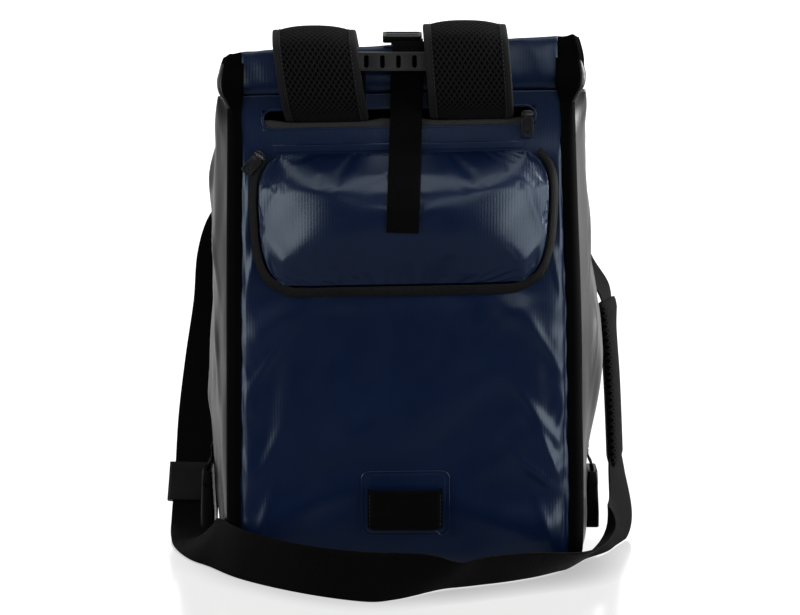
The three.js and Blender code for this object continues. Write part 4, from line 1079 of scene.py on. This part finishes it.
def pocketPlain(u, v):
    half, = tableAt(pocketTable, np.clip(v, 0, 1))
    x = pocket["middle"] + u * half
    z = mix(pocket["low"], pocket["high"], v)
    tall, blend = pocket["high"] - pocket["low"], pocketRun["blend"]
    fromEdges = {"side": (1 - np.abs(u)) * half, "low": v * tall, "high": (1 - v) * tall}
    slopes = [distance / pocketRun[key] for key, distance in fromEdges.items()]
    rise = (1 + sum(np.maximum(s, 1e-4) ** -blend for s in slopes)) ** (-1 / blend)
    base = frontAt(x, z)
    base[..., 1] -= pocketRim(v) + pocket["bulge"] * rise
    return base


def pocketDressed(u, v):
    point = pocketPlain(u, v)
    edge = np.minimum(1, 4.0 * np.minimum(np.minimum(1 - np.abs(u), v), 1 - v))
    x, z = point[..., 0], mix(pocket["low"], pocket["high"], v)
    soft = 0.5 * wander(x, z, 44, 13)
    point[..., 1] -= np.clip(edge, 0, 1) ** 0.6 * (foldHeight(pocketCreases, x, z) + soft)
    return point


def pocketSpacing(columns, rows):
    return np.meshgrid(arched(columns, 0.97), 0.5 + 0.5 * arched(rows, 0.95))


coarseU, coarseV = pocketSpacing(76, 46)
onRim = (np.abs(coarseU) > 0.999) | (coarseV < 0.001) | (coarseV > 0.999)
pocketShift = settledShift("pocket_settle", pocketPlain(coarseU, coarseV), onRim, pocketSettle)
pocketGrid = pocketDressed(*pocketSpacing(150, 90)) + refined(pocketShift, 90, 150)
pocketCloth = clothObject("pocket_cloth", pocketGrid, navyCloth, pocket["thickness"])
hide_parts("pocket_shell")

# zip band round the pocket: covered, smooth and round
band = {"width": 9.0, "start": 1.9, "rows": 9, "low": 2.6, "high": 3.2, "round": 2.2, "thickness": 1.2,
        "softenings": 6}
bandPath = np.array([[-1, v] for v in np.linspace(0.93, 0.06, 90)]
                    + [[u, 0] for u in np.linspace(-0.96, 0.96, 150)]
                    + [[1, v] for v in np.linspace(0.06, 0.96, 96)])
bandX = pocket["middle"] + bandPath[:, 0] * tableAt(pocketTable, bandPath[:, 1])[0]
bandPlan = np.stack([bandX, mix(pocket["low"], pocket["high"], bandPath[:, 1])], axis=-1)
for _ in range(band["softenings"]):
    bandPlan[1:-1] = 0.25 * bandPlan[:-2] + 0.5 * bandPlan[1:-1] + 0.25 * bandPlan[2:]
bandWay = unit(np.gradient(bandPlan, axis=0))
bandOut = np.stack([bandWay[:, 1], -bandWay[:, 0]], axis=-1)
bandRim = pocketRim(bandPath[:, 1])
bandWidth = band["width"] * mix(0.55, 1, bandRim / pocket["rim"]) * mix(0.72, 1, np.abs(bandWay[:, 0]))
bandHigh = np.maximum(band["high"], bandRim - 1)
bandRows = []
for s in np.linspace(0, 1, band["rows"]):
    plan = bandPlan + bandOut * (band["start"] + bandWidth * 0.5 * (1 - math.cos(math.pi * s)))[:, None]
    row = frontAt(plan[:, 0], plan[:, 1])
    row[:, 1] -= mix(bandHigh, band["low"], s) + band["round"] * math.sin(math.pi * s)
    bandRows.append(row)
bandGrid = np.array(bandRows)
bandRun = arcLength(bandGrid[4])
bandUv = np.stack(np.broadcast_arrays(np.linspace(0, 9, band["rows"])[:, None], bandRun[None]), axis=-1)
zipBand = clothObject("pocket_zip_tape", bandGrid[::-1], binding, band["thickness"], uvs=bandUv[::-1])
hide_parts("pocket_zip_band")

# welded strip over the pocket
strip = {"left": -107.0, "right": 96.0, "low": 1.5, "high": 7.5, "thickness": 0.55, "lift": 0.6, "sink": 0.75}
stripX, stripZ = np.meshgrid(np.linspace(strip["left"], strip["right"], 120),
                             np.linspace(pocket["high"] + strip["low"], pocket["high"] + strip["high"], 7))
stripGrid = dressedFront(stripX, stripZ)
stripEnd = np.minimum(stripX - strip["left"], strip["right"] - stripX)
stripGrid[..., 1] += strip["sink"] * (1 - smooth(0, 9, stripEnd))
topStrip = clothObject("pocket_weld_strip", stripGrid, navyCloth, strip["thickness"], strip["lift"])
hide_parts("pocket_top_strip")
print("stage: slot and pocket")

# light holder: welded patch with a pressed border, and the loop
patch = {"x": 0.8, "z": 57.0, "width": 72.0, "height": 55.0, "corner": 6.5, "thickness": 0.6}
outline = roundedOutline(patch["width"], patch["height"], patch["corner"], 200)
scales = np.array([0.02, 0.3, 0.6, 0.8, 0.865, 0.885, 0.9, 0.915, 0.94, 0.965, 0.985, 0.993, 1.0])
patchX, patchZ = (patch[key] + scales[:, None] * outline[None, :, c] for c, key in enumerate("xz"))
patchGrid = dressedFront(patchX, patchZ)
patchRise = np.interp(scales, [0, 0.86, 0.885, 0.9, 0.94, 0.985, 1], [1.1, 1.1, 1.05, 0.82, 0.82, 1.0, 0.55])
patchGrid[..., 1] -= patchRise[:, None]
lightPatch = clothObject("light_patch_cloth", patchGrid[:, ::-1], navyCloth, patch["thickness"])
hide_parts("light_patch")

loop = {"x": 0.5, "z": 53.2, "width": 60.0, "height": 33.5, "low": 3.3, "high": 10.4, "thickness": 1.7,
        "stitchPlace": 0.95, "stitchLow": 39.0, "stitchHigh": 67.5, "stitchPoints": 30}


def loopRise(u):
    return mix(loop["low"], loop["high"], smooth(0, 0.16, 1 - np.abs(u)))


gridU, gridV = np.meshgrid(arched(90, 0.9), np.linspace(-1, 1, 24))
loopX, loopZ = gridU * loop["width"] / 2, gridV * loop["height"] / 2
loopGrid = frontAt(loop["x"] + loopX, loop["z"] + loopZ)
loopGrid[..., 1] -= loopRise(gridU)
loopGrid[..., 1] += 0.9 * smooth(0.88, 1.0, np.abs(gridV)) - 0.5 * bell(np.abs(gridV), 0.82, 0.06)
loopUv = np.stack([loopX, loopZ], axis=-1)
loopBand = clothObject("light_loop_band", loopGrid, webbing, loop["thickness"], uvs=loopUv)
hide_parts("light_loop")
loopStitch = []
for u in (-loop["stitchPlace"], loop["stitchPlace"]):
    heights = np.linspace(loop["stitchLow"], loop["stitchHigh"], loop["stitchPoints"])
    line = frontAt(np.full(loop["stitchPoints"], loop["x"] + u * loop["width"] / 2), heights)
    line[:, 1] -= float(loopRise(u)) + 0.1
    loopStitch.append(line)
stitchObject("light_loop_stitches", loopStitch, [np.tile([0.0, -1.0, 0.0], (loop["stitchPoints"], 1))] * 2)
print("stage: light holder")

# shoulder straps: bow bends the edges of the pad down over the roll, lean moves it sideways on its way up
pads = {"width": 66.0, "backLift": 7.6, "count": 170, "edge": 0.5, "inset": 3.0, "columns": 21, "end": 140.0,
        "leanFrom": 371.0, "leanTo": 446.0,
        "left": {"x": -61.5, "lean": -0.15, "bow": 2.6, "rise": 0.0},
        "right": {"x": 53.0, "lean": -0.085, "bow": 2.2, "rise": 2.0}}
padBinding = {"width": 6.8, "inset": 3.3, "share": 0.62, "more": 0.9, "square": 0.55, "seam": 5.6}
tail = {"width": 25.0, "low": 58.0}
slotFront = float(frontAt(0.0, 371.0)[1])


def behind(z):
    step = 2
    here, ahead = backAt(50.0, z), backAt(50.0, z + step)
    lean = math.hypot(ahead[1] - here[1], step)
    return [here[1] + pads["backLift"] * step / lean, z - pads["backLift"] * (ahead[1] - here[1]) / lean]


# y, z, share of the width, thickness
padPath = [
    [slotFront + 17, 338, 0.92, 6], [slotFront + 15, 352, 0.94, 6], [slotFront + 9.5, 364.5, 0.97, 5],
    [slotFront - 2.5, 371.6, 1, 4.8], [slotFront - 13.5, 379, 1, 7.5], [slotFront - 22, 390, 1, 9],
    [slotFront - 24.5, 403, 1, 9], [slotFront - 23.5, 416, 1, 9], [slotFront - 16.5, 428, 1, 9],
    [-70, 435.5, 1, 9], [-56, 437.5, 1, 9], [-41, 432, 1, 9], [-28, 416, 1, 9], [-16, 394, 1, 9],
] + [[*behind(z), 1, 9] for z in (370, 358, 345, 332, 318, 285, 245, 205)] + [
    [*behind(165), 0.92, 9], [*behind(pads["end"]), 0.62, 7],
]


def padFrames(spec):
    step = 0.003
    ts = np.linspace(0, 1, pads["count"])
    row = curveRows(padPath, ts)
    way = curveRows(padPath, np.minimum(1, ts + step)) - curveRows(padPath, np.maximum(0, ts - step))
    along = unit(np.stack([np.zeros(len(ts)), way[:, 0], way[:, 1]], axis=-1))
    climbed = np.maximum(0, np.minimum(row[:, 1], pads["leanTo"]) - pads["leanFrom"])
    lean = spec["lean"] * climbed * np.where(ts < 0.6, 1, 0.6)  # less of it on the way down behind
    rise = spec["rise"] * np.clip((row[:, 1] - 405) / 25, 0, 1)
    centre = np.stack([spec["x"] + lean, row[:, 0], skewed(spec["x"], row[:, 1]) + rise], axis=-1)
    across = np.tile([1.0, 0.0, 0.0], (len(ts), 1))
    return {"centre": centre, "across": across, "through": np.cross(along, across),
            "share": row[:, 2], "thickness": row[:, 3], "t": ts}


def bindingProfile(thickness):
    angle = np.linspace(0, 2 * np.pi, 17)[:-1]
    wide, high = (boxed(way(angle), padBinding["square"]) for way in (np.cos, np.sin))
    return np.stack([wide * padBinding["width"] / 2, high * thickness / 2], axis=-1)


def offsetFrames(frames, offset, inward):
    moved = dict(frames)
    moved["centre"] = (frames["centre"] + frames["across"] * offset[:, None]
                       + frames["through"] * inward[:, None])
    return moved


for name in ("left", "right"):
    spec = pads[name]
    frames = padFrames(spec)
    thickness = frames["thickness"]
    half = pads["width"] / 2 * frames["share"]
    bow = spec["bow"] * smooth(404, 430, frames["centre"][:, 2]) * (frames["t"] < 0.62)
    profiles = np.stack([crownedProfile(2 * (h - pads["inset"]), t, pads["edge"], pads["columns"])
                         for h, t in zip(half, thickness)])
    profiles[..., 1] += bow[:, None] * (profiles[..., 0] / half[:, None]) ** 2
    padFoam = sweepObject("shoulder_mesh_" + name, frames, profiles, spacerMesh)
    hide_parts("shoulder_pad_" + name)
    edgeProfiles = np.stack([bindingProfile(t * padBinding["share"] + padBinding["more"]) for t in thickness])
    stitchPaths, stitchNormals = [], []
    for side, letter in ((-1, "a"), (1, "b")):
        edge = offsetFrames(frames, side * (half - padBinding["inset"]), bow * 0.8)
        edgeTape = sweepObject("shoulder_binding_%s_%s" % (name, letter), edge, edgeProfiles, binding)
        seam = offsetFrames(frames, side * (half - padBinding["seam"]), bow * 0.7)
        for face in (-1, 1):
            raised = (face * (thickness * 0.31 + 0.5))[:, None]
            stitchPaths.append(seam["centre"] + frames["through"] * raised)
            stitchNormals.append(frames["through"] * face)
    stitchObject("shoulder_stitches_" + name, stitchPaths, stitchNormals, length=2.2, gap=1.2, radius=0.3)
    padEnd = behind(pads["end"])
    tailTop = padEnd[1] + float(skewed(spec["x"], pads["end"])) - pads["end"] - 1
    tailRun = ((padEnd[0], tailTop), (padEnd[0] + 1, tailTop - 30), (padEnd[0] + 1, tail["low"]))
    tailFrames = strapFrames([[spec["x"], y, z, 1, 0, 0] for y, z in tailRun], 40)
    tailStrap = sweepObject("shoulder_tail_web_" + name, tailFrames, webbingProfile(tail["width"]), webbing)
    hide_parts("shoulder_tail_" + name)
    roundedCopy("shoulder_clip_" + name, plastic, width=0.7)
print("stage: shoulder straps")

# carrying handle: moulded grip and a webbing tab behind each end
grip = {"x": 1.5, "z": 414.5, "length": 104.0, "gap": 3.4,
        "tabInset": 11.0, "tabWidth": 18.0, "tabLow": 378.5}
gripBack = rollFront - grip["gap"]
roundedCopy("handle_grip", rubber, width=1.1, segments=3)
# near-black web that closes the slots of the grip at the back, darker than the rubber: painted shade in the
# slots
core = {"left": -32.0, "right": 35.0, "low": 409.2, "high": 419.8, "lift": 0.9, "thickness": 0.6}
coreXs, coreZs = np.linspace(core["left"], core["right"], 24), np.linspace(core["low"], core["high"], 8)
coreX, coreZ = np.meshgrid(coreXs, coreZs)
coreGrid = np.stack([coreX, np.full_like(coreX, gripBack - core["lift"]), coreZ], axis=-1)
clothObject("grip_core", coreGrid, tapeCloth, core["thickness"])
for name, sign in (("left", -1), ("right", 1)):
    x = grip["x"] + sign * (grip["length"] / 2 - grip["tabInset"])
    _, lowY, lowZ = frontAt(x, grip["tabLow"])
    tabRun = ((lowY - 1.5, lowZ), (lowY - 3.4, lowZ + 5.5), (gripBack + 1.9, lowZ + 12.5),
              (gripBack + 1.4, lowZ + 22), (gripBack + 1.25, lowZ + 31), (gripBack + 1.25, grip["z"] + 6))
    tabFrames = strapFrames([[x, y, z, 1, 0, 0] for y, z in tabRun], 60)
    tab = sweepObject("handle_webbing_" + name, tabFrames, webbingProfile(grip["tabWidth"], 7), webbing)
    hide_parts("handle_tab_" + name)

# closure: strap with a free end over the pocket, ladder buckle on the roll, anchor webbing behind
closure = {"width": 25.5, "freeEnd": 284, "lowX": -1.6, "highX": 2.0, "rise": 106.0,
           "hem": 11.5, "hemPoints": 20, "reachX": 13.5, "reachZ": 3.5, "lift": 1.2}


def closureX(z):
    return mix(closure["lowX"], closure["highX"], (z - closure["freeEnd"]) / closure["rise"])


def onPocket(z):
    nearX = np.abs(pocketGrid[..., 0] - closureX(z)) < closure["reachX"]
    nearZ = np.abs(pocketGrid[..., 2] - z) < closure["reachZ"]
    return float(pocketGrid[..., 1][nearX & nearZ].min()) - closure["lift"]


def onFront(z, lift):
    return float(frontAt(0.0, z)[1]) - lift


rollTop = float(rollLow(closure["highX"]) + 2 * rollHalf(closure["highX"]))
closureRun = [(z, onPocket(z)) for z in (closure["freeEnd"], 292, 302, 312, 320, 326, 331, 336)] + [
    (z, onFront(z, lift)) for z, lift in ((344, 5.5), (356, 3.2), (367, 3.2), (378, 3))] + [
    (388, rollFront - 1.1), (398, rollFront - 1.4), (408, rollFront - 1.5), (418, rollFront - 0.9),
    (424, rollFront + 1.2)]
closureRows = [[closureX(z), y, z, 1, 0, 0] for z, y in closureRun]
closureRows.append([closureX(425), rollFront + 5.3, rollTop + 1, 1, 0, 0])
closureFrames = strapFrames(closureRows, 190)
closureStrap = sweepObject("closure_webbing", closureFrames, webbingProfile(closure["width"]), webbing)
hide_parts("closure_strap")
onWebbing = 0.85  # stitches lie this far from the middle of a strap
hemAcross = np.linspace(-closure["hem"], closure["hem"], closure["hemPoints"])[:, None]
hemLines, hemNormals = [], []
for k in (4, 7):
    centre, across, through = (closureFrames[key][k] for key in ("centre", "across", "through"))
    hemLines.append(centre + hemAcross * across + through * onWebbing)
    hemNormals.append(np.tile(through, (closure["hemPoints"], 1)))
stitchObject("closure_hem_stitches", hemLines, hemNormals, length=1.7, gap=0.7)
roundedCopy("closure_buckle", plastic, width=0.7)
anchorRun = [(roll["y"] + 15.2, rollTop + 1.6), (roll["y"] + 16.6, rollTop - 5),
             (roll["y"] + 17, rollTop - 16), (roll["y"] + 18, rollTop - 31)]
anchorRun += [(float(backAt(closure["highX"], z)[1]) + 2.1, z + 1.1) for z in (381, 370, 358, 344)]
anchorFrames = strapFrames([[closure["highX"], y, z, 1, 0, 0] for y, z in anchorRun], 90)
anchorStrap = sweepObject("closure_anchor_webbing", anchorFrames, webbingProfile(closure["width"]), webbing)
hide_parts("closure_anchor")
stitchBox("closure_anchor_stitches", anchorFrames, 66, 88, closure["width"], -onWebbing)
stitchBox("carry_stitches_left", carryFrames, 3, 16, carry["width"], onWebbing)
stitchBox("carry_stitches_right", carryFrames, -16, -3, carry["width"], onWebbing)
print("stage: handle and closure")

# open buckle halves on webbing tabs at the lower sides
sideTab = {"width": 25.0, "low": 54.0, "heights": (86, 82, 78, 74, 70, 66)}
for name, around, sign, sewnLift in (("left", 7.42, -1, 1.3), ("right", 2.58, 1, 2.3)):
    lifts = (sewnLift, sewnLift, sewnLift + 0.2, sewnLift + 1.2, 5.2, 6.9)
    tabRows = []
    for z, lift in zip(sideTab["heights"], lifts):
        point = skin(around, z)
        tabRows.append([point[0] + sign * lift, point[1], point[2], 0, 1, 0])
    tabRows.append([*tabRows[-1][:2], sideTab["low"], 0, 1, 0])
    tabFrames = strapFrames(tabRows, 60)
    tab = sweepObject("side_webbing_" + name, tabFrames, webbingProfile(sideTab["width"]), webbing)
    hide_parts("side_tab_" + name)
    outward = np.sign(tabFrames["through"][5, 0] * sign)
    stitchBox("side_stitches_" + name, tabFrames, 2, 22, sideTab["width"], onWebbing * outward)
    roundedCopy("side_buckle_" + name, plastic, width=0.8)

# zip sliders stay with the bag; each pull, which swings on its slider, goes on a body of its own
for name in ("slot", "pocket"):
    roundedCopy(name + "_zip_slider", darkMetal, width=0.45)
    roundedCopy(name + "_zip_pull", darkMetal, width=0.35, body=name + "_pull")
print("stage: buckles and zips")

# floor: a pale sheet with its own glow and a faint gloss; less glow right beside what stands on it, a painted
# contact shadow
floorSpec = {"half": 15000.0, "z": -0.3, "gloss": (0.19, 0.19, 0.19), "roughness": (0.12, 0.20), "glow": 0.83,
             "shade": 0.03}
floorMaterial, tree = newMaterial("floorSheet")
dust = noise(tree, objectPlace(tree), Scale=3.0)
# ambient occlusion dims the glow near the bag: painted contact shadow, as far out as floorSpec's shade
paintedContactShadow = addNode(tree, "ShaderNodeAmbientOcclusion", samples=6)
paintedContactShadow.inputs["Distance"].default_value = floorSpec["shade"]
halfGlow = floorSpec["glow"] * 0.5
finishMaterial(tree, (*floorSpec["gloss"], 1), dust, 0.0, bumpDepth["mould"], {
    "Roughness": ranged(tree, dust, *floorSpec["roughness"]), "Metallic": 1.0, "Emission Color": (1, 1, 1, 1),
    "Emission Strength": mathNode(tree, "MULTIPLY_ADD", paintedContactShadow.outputs["AO"], halfGlow, halfGlow)})
corners = [[sx * floorSpec["half"], sy * floorSpec["half"], floorSpec["z"]]
           for sx, sy in ((-1, -1), (1, -1), (1, 1), (-1, 1))]
floor = meshObject("floor_sheet", corners, [(0, 1, 2, 3)], floorMaterial, body=None, flat=True)
floor.visible_diffuse = False
floor.visible_glossy = False
floor.visible_shadow = False

# white wall behind, dark room in front, some light from below
room = {"wall": (0.02, 1.05), "wallFrom": (0.45, 0.95), "below": (0.2, 0.0), "belowFrom": (-0.6, -0.2)}
world = bpy.data.worlds.new("studioWorld")
scene.world = world
world.use_nodes = True
tree = world.node_tree
_, depth, height = parted(tree, addNode(tree, "ShaderNodeTexCoord").outputs["Generated"])
wall = ranged(tree, depth, *room["wall"], *room["wallFrom"], "SMOOTHSTEP")
below = ranged(tree, height, *room["below"], *room["belowFrom"], "SMOOTHSTEP")
background = tree.nodes["Background"]
background.inputs["Color"].default_value = (1, 1, 1, 1)
tree.links.new(mathNode(tree, "ADD", wall, below), background.inputs["Strength"])


def softLight(name, place, aim, size, power):
    data = bpy.data.lights.new(name, "AREA")
    data.shape = "RECTANGLE"
    data.size, data.size_y = size
    data.energy = power
    lamp = bpy.data.objects.new(name, data)
    lamp.location = place
    way = np.array(aim, float) - np.array(place, float)
    tilt = math.acos(-way[2] / np.linalg.norm(way))
    lamp.rotation_euler = (tilt, 0, math.atan2(way[1], way[0]) - math.pi / 2)
    scene.collection.objects.link(lamp)
    return lamp


# lamps: place, aim, size in metres, power in watts
lights = {
    "overhead": ((0, -0.25, 2.0), (0, 0, 0.2), (2.0, 1.2), 14.0),
    "frontTop": ((0.6, -2.1, 1.38), (0, 0, 0.4), (1.6, 0.6), 7.0),
    "leftFront": ((-1.63, -1.02, 0.4), (0, 0, 0.25), (1.0, 1.4), 19.0),
    "rightFront": ((1.63, -1.02, 0.4), (0, 0, 0.25), (1.0, 1.4), 19.0),
    "leftSide": ((-1.5, 0.55, 0.7), (0, 0, 0.22), (0.5, 1.4), 4.0),
    "rightSide": ((1.5, 0.4, 0.7), (0, 0, 0.22), (0.5, 1.4), 42.0),
}
# the lamps light the bag alone; the floor has its own glow
lampReach = bpy.data.collections.new("lampReach")
lampReach.objects.link(floor)
for entry in lampReach.collection_objects:
    entry.light_linking.link_state = "EXCLUDE"
for name, lampSpec in lights.items():
    softLight(name, *lampSpec).light_linking.receiver_collection = lampReach
scene.view_settings.view_transform = "Standard"
print("stage: floor and lights")
